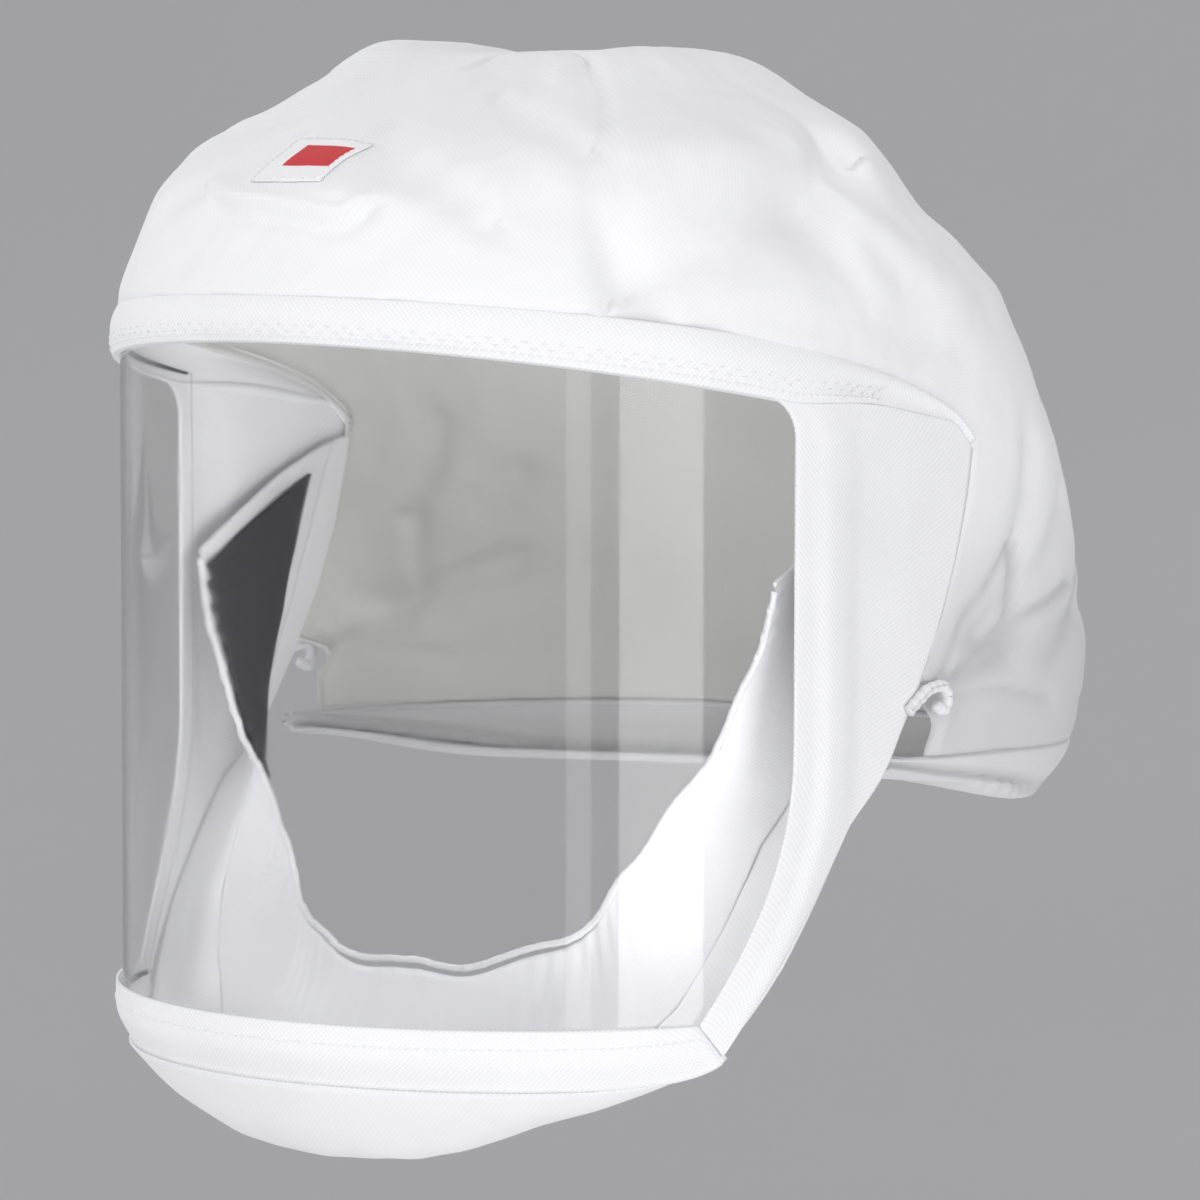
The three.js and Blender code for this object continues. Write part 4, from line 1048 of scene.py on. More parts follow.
# The finer folds. Lines with a negative turn cross the middle of the front.
FINE_FOLDS = {
    "shelf edge": Fold(((-0.092, 0.433), (-0.07, 0.407), (-0.038, 0.353), (-0.007, 0.341), (0.023, 0.321),
                        (0.052, 0.293), (0.062, 0.301), (0.073, 0.336)), depth=-0.5, step=2.0, width=2.8),
    "beside the patch": Fold(((0.03, 0.67), (0.065, 0.575), (0.093, 0.521), (0.13, 0.456), (0.16, 0.379),
                              (0.17, 0.319)), depth=1.5, step=0.9, width=5.0, side=1),
    "beside the patch, right": Fold(((0.05, 0.62), (0.1, 0.5), (0.15, 0.36)), depth=1.1, step=0.6, width=5.5,
                                    side=-1),
    "brow wrinkle": Fold(((0.1, 0.809), (0.162, 0.704), (0.193, 0.661), (0.222, 0.618)), depth=1.3, step=0.7,
                         width=4.0, sharp=0.4),
    "upright fold": Fold(((0.23, 0.881), (0.218, 0.661), (0.248, 0.418), (0.248, 0.173), (0.253, 0.067),
                          (0.263, -0.032)), depth=1.6, step=-0.8, width=6.0, side=1),
    "upright fold, right": Fold(((0.25, 0.8), (0.23, 0.5), (0.26, 0.15), (0.25, 0.0)), depth=1.3, step=-0.6,
                                width=6.5, side=-1),
    "narrow ridge": Fold(((0.268, 0.09), (0.268, -0.05)), depth=-0.5, width=2.4, side=1),
    "great fold": Fold(((0.272, 0.022), (0.312, 0.122), (0.358, 0.239), (0.433, 0.273), (0.51, 0.39),
                        (0.582, 0.498)), depth=1.0, step=-1.4, width=9.0),
    "back ridge": Fold(((0.512, 0.376), (0.482, 0.213), (0.485, 0.01)), depth=-1.2, width=7.0),
    "over the corner": Fold(((0.465, -0.05), (0.505, -0.078), (0.582, -0.112)), depth=1.1, width=4.0,
                            sharp=0.3),
    "left dent": Fold(((0.142, 0.416), (0.11, 0.26), (0.082, 0.113)), depth=0.8, width=4.5),
    "front dent": Fold(((0.06, 0.259), (0.07, 0.139)), depth=0.5, width=4.0),
    "top crease": Fold(((0.003, 0.955), (0.072, 0.909), (0.16, 0.86)), depth=1.2, width=4.0, sharp=0.3, side=1),
    "top hollow": Fold(((0.008, 0.827), (0.05, 0.889), (0.135, 0.852)), depth=1.2, width=7.0),
    "side hollow": Fold(((0.272, 0.698), (0.36, 0.741), (0.413, 0.658)), depth=1.4, width=8.0),
    "side ripple": Fold(((0.312, -0.061), (0.357, -0.044), (0.435, -0.095)), depth=0.9, width=4.5),
    "nape crease 1": Fold(((0.54, -0.785), (0.585, -0.729), (0.617, -0.686), (0.65, -0.635), (0.708, -0.595)),
                          depth=2.4, step=-1.0, width=3.4, sharp=0.5),
    "nape crease 2": Fold(((0.54, -0.78), (0.61, -0.706), (0.625, -0.64), (0.625, -0.495)), depth=2.1, step=0.9,
                          width=3.4, sharp=0.5),
    "nape crease 3": Fold(((0.545, -0.76), (0.57, -0.66), (0.6, -0.552), (0.618, -0.492)), depth=1.5, width=3.0,
                          sharp=0.4),
    "nape crease 4": Fold(((0.54, -0.79), (0.602, -0.769), (0.658, -0.803)), depth=1.6, width=3.0, sharp=0.5),
    "nape crease 5": Fold(((0.66, -0.72), (0.72, -0.64), (0.76, -0.52)), depth=1.0, width=5.0),
    "back fold 1": Fold(((0.74, -0.86), (0.8, -0.6), (0.83, -0.35)), depth=1.4, step=0.6, width=7.0, side=1),
    "back fold 2": Fold(((0.9, -0.88), (0.93, -0.6), (0.9, -0.3)), depth=1.6, step=-0.5, width=8.0, side=-1),
    "back fold 3": Fold(((0.8, -0.2), (0.88, 0.05), (0.86, 0.4)), depth=1.5, width=10.0),
    "pucker roll": Fold(((0.545, -0.84), (0.56, -0.8), (0.565, -0.75)), depth=-1.2, width=3.0),
}


@dataclass(frozen=True)
class ClothGrid:
    """A grid of the crown's cloth.

    Args:
        points: rows of points in millimetres.
        turn: the turn of each point.
        level: the level of each point.
        lengths: how far each point lies along and up the cloth, in metres.
    """

    points: np.ndarray
    turn: np.ndarray
    level: np.ndarray
    lengths: np.ndarray


@dataclass
class Crown:
    """The hollow cloth shell over the head, ears and nape.

    Args:
        cut: the cover's sizes.
        front_columns: columns from the middle of the front to the side panel's corner.
        back_columns: columns from there to the middle of the back.
        dome_rows: rows from the brow band to the top.
        nape_rows: rows from the nape's crease to the side panel's corner.
        tuck: how far the edges slip under the facing, in millimetres.
        wave: height of the broad soft waves in millimetres.
        crease: height of the finer creases in millimetres.
        wall: the cloth's wall in millimetres.
    """

    cut: Cut
    front_columns: int = 126
    back_columns: int = 82
    dome_rows: int = 92
    nape_rows: int = 60
    tuck: float = 3.5
    wave: float = 0.55
    crease: float = 0.25
    wall: float = 0.9

    def _edge_turn(self, height: np.ndarray) -> np.ndarray:
        """Turn of the cloth's front edge behind the side panel, at each height."""
        cut = self.cut
        back = cut.panel_back() + [cut.gap, 0]
        crease = float(cut.nape_crease(np.array(cut.nape_gap)))
        top = crease + cut.nape_gap_height
        start = [
            [cut.nape_gap + 6, crease],
            [cut.nape_gap + cut.nape_gap_lean + 6.5, crease + cut.nape_gap_height / 2],
            [cut.nape_gap + 4, crease + cut.nape_gap_height * 0.82],
            [float(np.interp(top, back[:, 1], back[:, 0])), top],
        ]
        rest = [list(row) for row in back if row[1] > top + 1]
        corner = [[cut.panel_corner + cut.gap, self._corner_height()]]
        edge = np.array(start + rest + corner)
        want = smooth_read(edge[:, 1], edge[:, 0], height)
        turns = np.linspace(cut.front_share, 0.7, 400)
        out = np.empty_like(height)
        for i, (z, y) in enumerate(zip(height, want)):
            line = cut.cloth_point(turns, cut.height_level(z) * np.ones_like(turns))
            out[i] = np.interp(y, line[:, 1], turns)
        return out

    def _corner_height(self) -> float:
        """Height of the side panel's upper back corner."""
        return float(self.cut.brow_ridge(np.array(self.cut.panel_corner))) + self.cut.gap

    def _brow_level(self, turns: np.ndarray) -> np.ndarray:
        """Level where the cloth meets the brow band's top, at each turn."""
        cut = self.cut
        levels = np.linspace(-0.4, 0.1, 500)
        out = np.empty_like(turns)
        for i, turn in enumerate(turns):
            line = cut.cloth_point(np.full_like(levels, turn), levels)
            off = line[:, 2] - cut.brow_ridge(line[:, 1]) - cut.gap
            out[i] = np.interp(0, off, levels)
        return out

    def _outwards(self, points: np.ndarray) -> np.ndarray:
        """Directions away from the middle of the head."""
        off = points - HEAD_MIDDLE
        return off / np.linalg.norm(off, axis=-1, keepdims=True)

    def painted_shade(self, grid: ClothGrid) -> np.ndarray:
        """How much painted shade greys the nape's creases and the low nape, from 0 to 1."""
        # Painted shade, growing towards the hem and deepened along the nape's creases.
        shade = smooth_step(-0.3, -0.8, grid.level) * 0.8
        for name, fold in FINE_FOLDS.items():
            if name.startswith("nape crease"):
                depth = -fold.lift(self.cut, grid.turn, grid.level) / max(fold.depth, 0.1)
                shade = shade + (1 - shade) * np.clip(depth, 0, 1) ** 3
        return shade

    def shaped(self, grid: ClothGrid) -> np.ndarray:
        """The grid's points with the fine folds, soft waves and small creases."""
        lift = soft_noise(grid.points, 34) * self.wave
        lift = lift + soft_noise(grid.points, 13, ridged=True) * self.crease
        for fold in FINE_FOLDS.values():
            lift = lift + fold.lift(self.cut, grid.turn, grid.level) * smooth_step(1.0, 0.96, grid.level)
        return grid.points + self._outwards(grid.points) * lift[..., None]

    def _half(self, side: int) -> list[ClothGrid]:
        """The cloth of one side.

        Args:
            side: 1 the wearer's left, -1 the right.
        Returns:
            Its grids: the dome, the nape and the strips that slip under the facing.
        """
        cut = self.cut
        corner = self._corner_height()
        corner_turn = self._edge_turn(np.array([corner]))[0]
        front = np.linspace(0, corner_turn, self.front_columns)
        back = corner_turn + (1 - corner_turn) * np.linspace(0, 1, self.back_columns)[1:]
        low = np.concatenate([self._brow_level(front), np.full(len(back), float(cut.height_level(corner)))])
        low[self.front_columns - 1] = float(cut.height_level(corner))
        depth = np.sqrt(1 - low)[None, :] * (1 - np.linspace(0, 1, self.dome_rows))[:, None]
        level = 1 - depth ** 2
        turn = side * np.broadcast_to(np.concatenate([front, back]), depth.shape)
        points = cut.cloth_point(turn, level)
        lengths = grid_lengths(points * MM, 0)
        dome = ClothGrid(points, turn, level, lengths)
        heights = np.linspace(float(cut.nape_crease(np.array(cut.nape_gap))), corner, self.nape_rows)
        edge = self._edge_turn(heights)
        spread = edge[:, None] + (1 - edge[:, None]) * np.linspace(0, 1, self.back_columns)[None, :]
        rise = (heights - heights[0]) / (heights[-1] - heights[0])
        y = cut.cloth_point(spread, cut.height_level(heights)[:, None])[..., 1]
        crease = cut.nape_crease(y)
        level = cut.height_level(crease + (corner - crease) * rise[:, None])
        first = self.front_columns - 1
        spread[-1], level[-1] = np.abs(dome.turn[0, first:]), dome.level[0, first:]
        points = cut.cloth_point(side * spread, level)
        lengths = grid_lengths(points * MM, 0) + [dome.lengths[0, first, 0], 0]
        lengths[..., 1] -= lengths[-1:, :, 1]
        nape = ClothGrid(points, side * spread, level, lengths)
        shares = (1.0, 0.6, 0.25, 0.0)
        inwards = -self._outwards(dome.points[0, :first + 1]) * [1, 1, 0]
        brow = self._strip(dome, (0, slice(0, first + 1)), shares, inwards, np.array([0, 0, -1.0]), 0, 1)
        pull = -self._outwards(nape.points[:, 0]) * [1, 0, 0]
        lip = self._strip(nape, (slice(None), 0), shares, pull, np.array([0, -1.0, 0]), 1, 0)
        return [dome, nape, brow, lip]

    def _strip(self, grid: ClothGrid, edge: tuple, shares: tuple[float, ...], pull: np.ndarray, way: np.ndarray,
               axis: int, length_axis: int) -> ClothGrid:
        """A strip that slips from an edge of the cloth under its neighbour.

        Args:
            grid: the cloth.
            edge: index of the edge's points in it.
            shares: places across the strip, 0 at the edge.
            pull: direction under the neighbour at each point.
            way: direction beyond the edge.
            axis: where the strip's own places are counted.
            length_axis: which of the cloth's lengths grows across the strip.
        Returns:
            The strip.
        """
        points = np.stack([grid.points[edge] + (pull * 0.65 + way) * s * self.tuck for s in shares], axis=axis)
        lengths = np.stack([grid.lengths[edge]] * len(shares), axis=axis)
        beyond = np.array(shares) * self.tuck * MM
        lengths[..., length_axis] -= beyond[:, None] if axis == 0 else beyond[None, :]
        turn = np.stack([grid.turn[edge]] * len(shares), axis=axis)
        level = np.stack([grid.level[edge]] * len(shares), axis=axis)
        return ClothGrid(points, turn, level, lengths)

    def build(self, finishes: Finishes) -> bpy.types.Object:
        """Makes the shell."""
        grids, lengths, painted_shade = [], [], []
        for side in (1, -1):
            for grid in self._half(side):
                points, shade = self.cut.to_metres(self.shaped(grid)), self.painted_shade(grid)
                places = grid.lengths.copy()
                if side < 0:
                    places[..., 0] *= -1
                    points, places, shade = points[:, ::-1], places[:, ::-1], shade[:, ::-1]
                grids.append(points)
                lengths.append(places)
                painted_shade.append(shade)
        piece = Piece("crown_cloth", Slot.CLOTH, ("crown",))
        thing = piece.walled(grids, self.wall, finishes.crown, lengths, painted_shade)
        piece.paint_inner_shade(thing, finishes.inside, self.cut.to_metres(HEAD_MIDDLE))
        return thing


@dataclass
class Facing:
    """The stiff twill cloth round the window, and the clear visor behind it.

    Args:
        cut: the cover's sizes.
        pitch: size of the mesh's cells in millimetres.
        sway: height of the soft waves in millimetres.
        wall: the cloth's wall in millimetres.
    """

    cut: Cut
    pitch: float = 1.5
    sway: float = 0.45
    wall: float = 0.9

    @staticmethod
    def _outwards(points: np.ndarray) -> np.ndarray:
        """Level directions away from the middle of the head."""
        off = points * [1, 1, 0] - np.array([0, 20, 0])
        return off / np.linalg.norm(off, axis=-1, keepdims=True)

    def _sway(self, points: np.ndarray, fade: np.ndarray) -> np.ndarray:
        """Soft waves of the cloth, faded towards its edges."""
        return points + self._outwards(points) * (soft_noise(points, 26) * self.sway * fade)[..., None]

    def brow(self, finishes: Finishes) -> bpy.types.Object:
        """Makes the stitched band over the window."""
        cut = self.cut
        reach = cut.quarter + cut.panel_corner
        runs = np.linspace(-reach, reach, int(2 * reach / self.pitch))
        y = cut.y_of(runs)
        shares = np.concatenate([[-0.3, -0.05, -0.006, 0.004, 0.03], np.linspace(0.06, 1, 21), [1.04]])
        inside = np.clip(shares, 0, 1)
        behind = smooth_step(cut.side_y(cut.window_turn) + 2, 12, y)[None, :]
        below = np.minimum(shares, 0)[:, None] * (0.15 + 0.85 * behind)
        heights = share_rows(cut.brow_foot(y), cut.brow_ridge(y), inside)
        below = np.where(below < -0.04, below, below * 0.2)
        heights = heights + (cut.brow_ridge(y) - cut.brow_foot(y))[None, :] * below
        over = smooth_read(*zip(*BROW_OVER), shares)[:, None]
        rolled = smooth_read(*zip(*BROW_ROLLED), shares)[:, None]
        proud = over + (rolled - over) * behind
        grid = cut.wall(np.broadcast_to(runs, heights.shape), heights, proud)
        fade = np.broadcast_to(np.sin(np.pi * inside)[:, None] * 0.8, heights.shape)
        piece = Piece("brow_facing", Slot.FACING, ("brow_band",))
        thing = piece.walled([cut.to_metres(self._sway(grid, fade))], self.wall, finishes.facing)
        return thing

    def panel(self, side: int, finishes: Finishes) -> bpy.types.Object:
        """Makes the cloth panel beside the window.

        Args:
            side: 1 the wearer's left, -1 the right.
            finishes: the cover's materials.
        Returns:
            The panel.
        """
        cut = self.cut
        front = np.vstack([cut.toe, cut.window_edge(24)])
        back = np.vstack([cut.toe, self._curved(cut.panel_back())])
        rows = int(185 / self.pitch)
        shares = np.append(np.linspace(0, 1, rows)[:-1], [0.9985, 1])
        ahead, behind = self._spaced(front, shares), self._spaced(back, shares)
        columns = np.linspace(0, 1, int(78 / self.pitch))
        side_view = ahead[:, None] + (behind - ahead)[:, None] * columns[None, :, None]
        top = side_view[-1].copy()
        top[:, 1] = cut.brow_foot(top[:, 0]) - 0.04
        lift = (shares ** 6)[:, None]
        side_view[..., 1] += lift * (top[:, 1] - side_view[-1, :, 1])[None, :]
        inner = np.sin(np.pi * columns)[None, :] * np.sin(np.pi * np.clip(shares, 0, 1))[:, None]
        along = np.linalg.norm(side_view - ahead[:, None], axis=-1)
        form = smooth_read(*zip(*PANEL_FORM), along)
        proud = form * np.sqrt(np.clip(inner, 0, 1))
        run = cut.run_of(side_view[..., 0])
        grid = cut.wall(run, side_view[..., 1], proud)
        grid = self._sway(grid, np.clip(inner * 1.3, 0, 1))
        name = SIDE_NAMES[side]
        piece = Piece(f"side_facing_{name}", Slot.FACING, (f"side_panel_{name}",))
        thing = piece.walled([cut.to_metres(on_side(grid, side))], self.wall, finishes.facing)
        return thing

    def chin(self, finishes: Finishes) -> bpy.types.Object:
        """Makes the band under the window, rolled in at its lower edge."""
        cut = self.cut
        around = np.linspace(-1, 1, 190)
        shares = np.linspace(0, 1, 18)
        heights = -cut.chin_depth(around)[None, :] * shares[:, None]
        roll = smooth_step(0.35, 1.15, shares)[:, None] ** 1.3 * 1.25
        tuck = 1.05 * smooth_step(0.975, 0.992, np.abs(around))[None, :]
        rolled = np.minimum(roll, 1) * cut.chin_roll * (1 - np.abs(around) ** 8)[None, :]
        radius = cut.visor_radius - rolled - tuck
        grid = cut.chin_place(around[None, :], heights, radius)[::-1]
        fade = np.broadcast_to((np.sin(np.pi * shares[::-1]) ** 2)[:, None], heights.shape)
        piece = Piece("chin_facing", Slot.FACING, ("chin_band",))
        thing = piece.walled([cut.to_metres(self._sway(grid, fade))], self.wall, finishes.facing)
        return thing

    def visor(self, finishes: Finishes) -> bpy.types.Object:
        """Makes the clear curved sheet just inside the facing."""
        cut = self.cut
        edge = cut.window_edge(24) + [cut.visor_overlap, 0]
        side_y = np.array(cut.side_y(cut.window_turn))
        side_top = float(cut.brow_line(cut.window_height, side_y)) + cut.visor_overlap
        shares = np.linspace(0, 1, 60)
        side_height = -cut.visor_overlap + (side_top + cut.visor_overlap) * shares
        keep = edge[:, 1] < side_top - cut.window_corner
        limit = cut.run_of(np.interp(side_height, edge[keep, 1], edge[keep, 0]))
        runs = limit[:, None] * np.linspace(-1, 1, 170)[None, :]
        top = cut.brow_line(cut.window_height, cut.y_of(runs)) + cut.visor_overlap
        heights = -cut.visor_overlap + (top + cut.visor_overlap) * shares[:, None]
        inset = -(cut.cloth + cut.gap)
        grid = cut.wall(runs, heights, np.full_like(heights, inset))
        piece = Piece("visor_sheet", Slot.VISOR, ("visor",))
        return piece.walled([cut.to_metres(grid)], cut.visor_sheet, finishes.visor)

    @staticmethod
    def _curved(points: np.ndarray) -> np.ndarray:
        """A smooth line through points given as rows of (y, z)."""
        along = np.arange(len(points), dtype=float)
        fine = np.linspace(0, len(points) - 1, 80)
        return np.column_stack([smooth_read(along, points[:, 0], fine), smooth_read(along, points[:, 1], fine)])

    @staticmethod
    def _spaced(points: np.ndarray, shares: np.ndarray) -> np.ndarray:
        """Points at shares of a line's length."""
        steps = np.linalg.norm(np.diff(points, axis=0), axis=1)
        along = np.concatenate([[0], np.cumsum(steps)]) / steps.sum()
        return np.column_stack([np.interp(shares, along, points[:, 0]), np.interp(shares, along, points[:, 1])])

    def seams(self) -> list[tuple[str, np.ndarray, np.ndarray, float]]:
        """The facing's sewn rows: name, path, directions outwards and how far they zigzag in metres."""
        cut = self.cut
        reach = cut.quarter + 10
        runs = np.linspace(-reach, reach, 300)
        y = cut.y_of(runs)
        rows = []
        for name, share, zigzag in (("brow_stitches", 0.32, 0.0016), ("brow_edge_stitches", 0.14, 0.0)):
            height = cut.brow_foot(y) + (cut.brow_ridge(y) - cut.brow_foot(y)) * share
            proud = float(smooth_read(*zip(*BROW_OVER), np.array([share]))[0])
            rows.append((name, cut.wall(runs, height, np.full_like(runs, proud + 0.05)), zigzag))
        around = np.linspace(-0.95, 0.95, 260)
        chin = cut.chin_place(around, -cut.chin_depth(around) * 0.3, cut.visor_radius)
        rows.append(("chin_stitches", chin, 0.0))
        out = []
        for name, points, zigzag in rows:
            points = self._sway(points, np.full(len(points), 0.75))
            out.append((name, points, self._outwards(points), zigzag))
        return out

    def build(self, finishes: Finishes) -> None:
        """Makes the visor and all pieces of the facing."""
        self.visor(finishes)
        self.brow(finishes)
        self.panel(1, finishes)
        self.panel(-1, finishes)
        self.chin(finishes)


@dataclass
class NapeHem:
    """The elastic hem round the nape and its gathered ends.

    Args:
        cut: the cover's sizes.
        columns: columns round the nape.
        gathers: number of small gathers round the hem.
        gather_depth: their depth in millimetres.
    """

    cut: Cut
    columns: int = 300
    gathers: int = 44
    gather_depth: float = 0.45

    def band(self, finishes: Finishes) -> bpy.types.Object:
        """Makes the hem band, turned in at its lower edge."""
        cut = self.cut
        profile = np.array([
            (-0.14, 0.11, 0), (0.1, 0.01, 0), (0.5, 0, 0), (1, 0.04, 0), (1, 0.4, 1), (1, 1, 0.6),
        ])
        places = np.linspace(0, len(profile) - 1, 30)
        index = np.arange(len(profile))
        mix, tuck, under = (smooth_read(index, profile[:, k], places)[:, None] for k in range(3))
        around = np.linspace(1, -1, self.columns)[None, :]
        turn = cut.nape_start + (1 - cut.nape_start) * (1 - np.abs(around))
        height = cut.hem_height + cut.nape_band * (1 - np.maximum(mix, 0))
        level = np.maximum(cut.height_level(height), -1)
        point = cut.cloth_point(np.sign(around + 1e-9) * turn, level + 0 * around)
        middle = np.stack(np.broadcast_arrays(0.0, cut.panel_corner, point[..., 2]), axis=-1)
        inwards = (middle - point) / np.linalg.norm(middle - point, axis=-1, keepdims=True)
        top = cut.nape_crease(point[..., 1]) - cut.gap - cut.cloth / 2
        back = smooth_step(0.15, 0.6, cut.nape_share(point[..., 1]))
        point[..., 2] = top + (cut.nape_hem(point[..., 1]) - top) * mix - under * cut.hem_under * back
        point += inwards * (tuck * cut.hem_turn_in)[..., None]
        wave = np.cos(around * self.gathers * math.pi + 2 * soft_noise(point, 40))
        uneven = 0.5 + soft_noise(point + 90, 30)
        point -= inwards * (wave * uneven * self.gather_depth * smooth_step(0.2, 1.2, mix + tuck))[..., None]
        swing = (np.abs(turn) - cut.nape_start) / 0.16
        fold = np.exp(-((mix + tuck - 0.15 - 0.75 * np.clip(swing, 0, 1.4) ** 0.8) / 0.16) ** 2)
        point += inwards * (fold * 3.2 * smooth_step(1.5, 1.1, swing))[..., None]
        piece = Piece("nape_hem", Slot.CLOTH, ("nape_band",))
        # Painted shade over the hem band, deepest in its turned-in fold.
        painted_shade = [(0.6 + 0.4 * fold)[::-1]]
        thing = piece.walled([cut.to_metres(point[::-1])], cut.cloth, finishes.crown, painted_shade=painted_shade)
        return thing

    def elastic_end(self, side: int, finishes: Finishes) -> bpy.types.Object:
        """Makes the rolled end of the neck elastic behind one side panel."""
        cut = self.cut
        x = cut.visor_radius + 1.1 + cut.gap * 2
        y = cut.nape_gap + 3
        z = float(cut.nape_crease(np.array(cut.nape_gap))) + 15.5
        route = np.array([
            (-3.4, -0.6), (-2.3, 0.1), (-1.1, 0.7), (0, 0.8), (0.75, 0.1), (0.3, -0.75), (-0.5, -0.5),
        ]) * 4.2
        line = np.column_stack([np.full(len(route), side * x), y + route[:, 0], z + route[:, 1]])
        name = SIDE_NAMES[side]
        piece = Piece(f"neck_elastic_{name}", Slot.ELASTIC, (f"elastic_end_{name}",))
        return piece.tube(cut.to_metres(tube_grid(line, 1.6, 90, 16, 0.07, 11)), finishes.elastic)

    def build(self, finishes: Finishes) -> None:
        """Makes the hem and both elastic ends."""
        self.band(finishes)
        self.elastic_end(1, finishes)
        self.elastic_end(-1, finishes)


def tube_grid(line: np.ndarray, radius: float, steps: int, around: int, ruffle: float,
              ruffles: int) -> np.ndarray:
    """A gathered tube along a smooth line.

    Args:
        line: points of the line in millimetres.
        radius: the tube's radius.
        steps: rows along the line.
        around: points round the tube.
        ruffle: how much the radius swells at each gather, as a share.
        ruffles: number of gathers.
    Returns:
        Rows of points, each a closed loop.
    """
    at = np.linspace(0, len(line) - 1, steps)
    index = np.arange(len(line))
    path = np.column_stack([smooth_read(index, line[:, k], at) for k in range(3)])
    along = np.gradient(path, axis=0)
    along /= np.linalg.norm(along, axis=1, keepdims=True)
    upright = np.cross(along, [0, 0, 1.0])
    weak = np.linalg.norm(upright, axis=1) < 0.05
    upright[weak] = np.cross(along[weak], [1.0, 0, 0])
    upright /= np.linalg.norm(upright, axis=1, keepdims=True)
    other = np.cross(along, upright)
    angle = np.linspace(0, 2 * math.pi, around, endpoint=False)
    swell = radius * (1 + ruffle * np.cos(np.linspace(0, ruffles * 2 * math.pi, steps)))
    ring = upright[:, None] * np.cos(angle)[None, :, None] + other[:, None] * np.sin(angle)[None, :, None]
    return path[:, None] + ring * swell[:, None, None]


@dataclass
class Collar:
    """The gathered inner collar: chin cloth, face seal, its elastic and dark cheek sheets, painted shade beyond
    the face opening.

    Args:
        cut: the cover's sizes.
        columns: columns from temple to temple.
        puckers: number of small puckers at the face opening.
        pucker_depth: their depth in millimetres.
        wall: the cloth's wall in millimetres.
        shade_sheet_wall: the dark cheek sheets' wall.
        cloth_end: share of the collar's depth where its cloth meets the elastic.
    """

    cut: Cut
    columns: int = 300
    puckers: int = 50
    pucker_depth: float = 0.65
    wall: float = 0.9
    shade_sheet_wall: float = 1.2
    cloth_end: float = 0.985

    def _grid(self, low: np.ndarray, high: np.ndarray, around: np.ndarray, rows: int,
              grain: tuple[float, float, float] = (1, 1, 0.4)) -> np.ndarray:
        """Points of the collar between two shares of its depth, with its folds.

        Args:
            low: share where the cloth starts, for each column.
            high: share where it ends.
            around: the columns' places from temple to temple.
            rows: number of rows.
            grain: how close its broad folds lie along x, y and z.
        Returns:
            Rows of points in millimetres.
        """
        across = share_rows(low, high, np.linspace(0, 1, rows))
        wide = np.broadcast_to(around, across.shape)
        grid = self.cut.collar_point(wide, across)
        wave = np.cos(wide * self.puckers * math.pi + 7 * soft_noise(grid, 38))
        uneven = 0.55 + 0.9 * soft_noise(grid + 60, 22)
        broad = soft_noise(grid * np.array(grain), 30)
        fine = soft_noise(grid * [1, 1, 0.3], 9)
        middle = np.sin(np.pi * np.clip(across, 0, 1))
        depth = wave * uneven * self.pucker_depth * across ** 5 + (broad * 1.3 + fine * 0.35) * middle
        rise = np.exp(-across / 0.05)[..., None]
        away = grid * [1, 1, 0]
        away /= np.linalg.norm(away, axis=-1, keepdims=True)
        chin = smooth_step(0.62, 0.5, np.abs(wide))[..., None]
        return grid + grid_normals(grid) * depth[..., None] + (away * 1.3 + [0, 0, 0.4]) * rise * chin

    def chin_cloth(self, finishes: Finishes) -> bpy.types.Object:
        """Makes the cloth under the chin."""
        around = np.linspace(-1, 1, self.columns)
        piece = Piece("chin_cloth", Slot.CLOTH, ("chin_panel",))
        high = self.cut.chin_share(around) - 0.005
        grid = self._grid(np.zeros_like(around), high, around, 34, (0.45, 0.8, 3.2))
        thing = piece.walled([self.cut.to_metres(grid)], self.wall, finishes.crown)
        return thing

    def seal(self, finishes: Finishes) -> bpy.types.Object:
        """Makes the gathered seal round the face."""
        around = np.linspace(-1, 1, self.columns)
        piece = Piece("seal_cloth", Slot.SEAL, ("face_seal",))
        grid = self._grid(self.cut.chin_share(around), np.full_like(around, self.cloth_end), around, 46)
        thing = piece.walled([self.cut.to_metres(grid)], self.wall, finishes.seal)
        return thing

    def elastic(self, finishes: Finishes) -> bpy.types.Object:
        """Makes the ruffled elastic that edges the face opening."""
        around = np.linspace(-0.985, 0.985, 260)
        line = self.cut.collar_point(around, np.ones_like(around))
        piece = Piece("seal_elastic", Slot.ELASTIC, ("face_elastic",))
        line += soft_noise(line, 5)[:, None] * 0.35
        return piece.tube(self.cut.to_metres(tube_grid(line, 0.95, 520, 10, 0.08, 83)), finishes.elastic)

    def lining(self, side: int, finishes: Finishes) -> bpy.types.Object:
        """Makes the dark sheet beside one cheek and temple, painted shade seen beyond the face opening."""
        around = np.linspace(0.6, 0.966, 90)
        high = np.full_like(around, self.cloth_end - (0.2 if side > 0 else 0.1))
        grid = self._grid(self.cut.chin_share(around) + 0.12, high, around, 30)
        grid -= grid_normals(grid) * (self.cut.seal_cloth + 2 * self.cut.gap)
        name = SIDE_NAMES[side]
        piece = Piece(f"cheek_shade_sheet_{name}", Slot.LINING, (f"cheek_lining_{name}",))
        thing = piece.walled([self.cut.to_metres(on_side(grid, side))], self.shade_sheet_wall, finishes.lining)
        return thing

    def build(self, finishes: Finishes) -> None:
        """Makes all pieces of the collar."""
        self.chin_cloth(finishes)
        self.seal(finishes)
        self.elastic(finishes)
        self.lining(1, finishes)
        self.lining(-1, finishes)


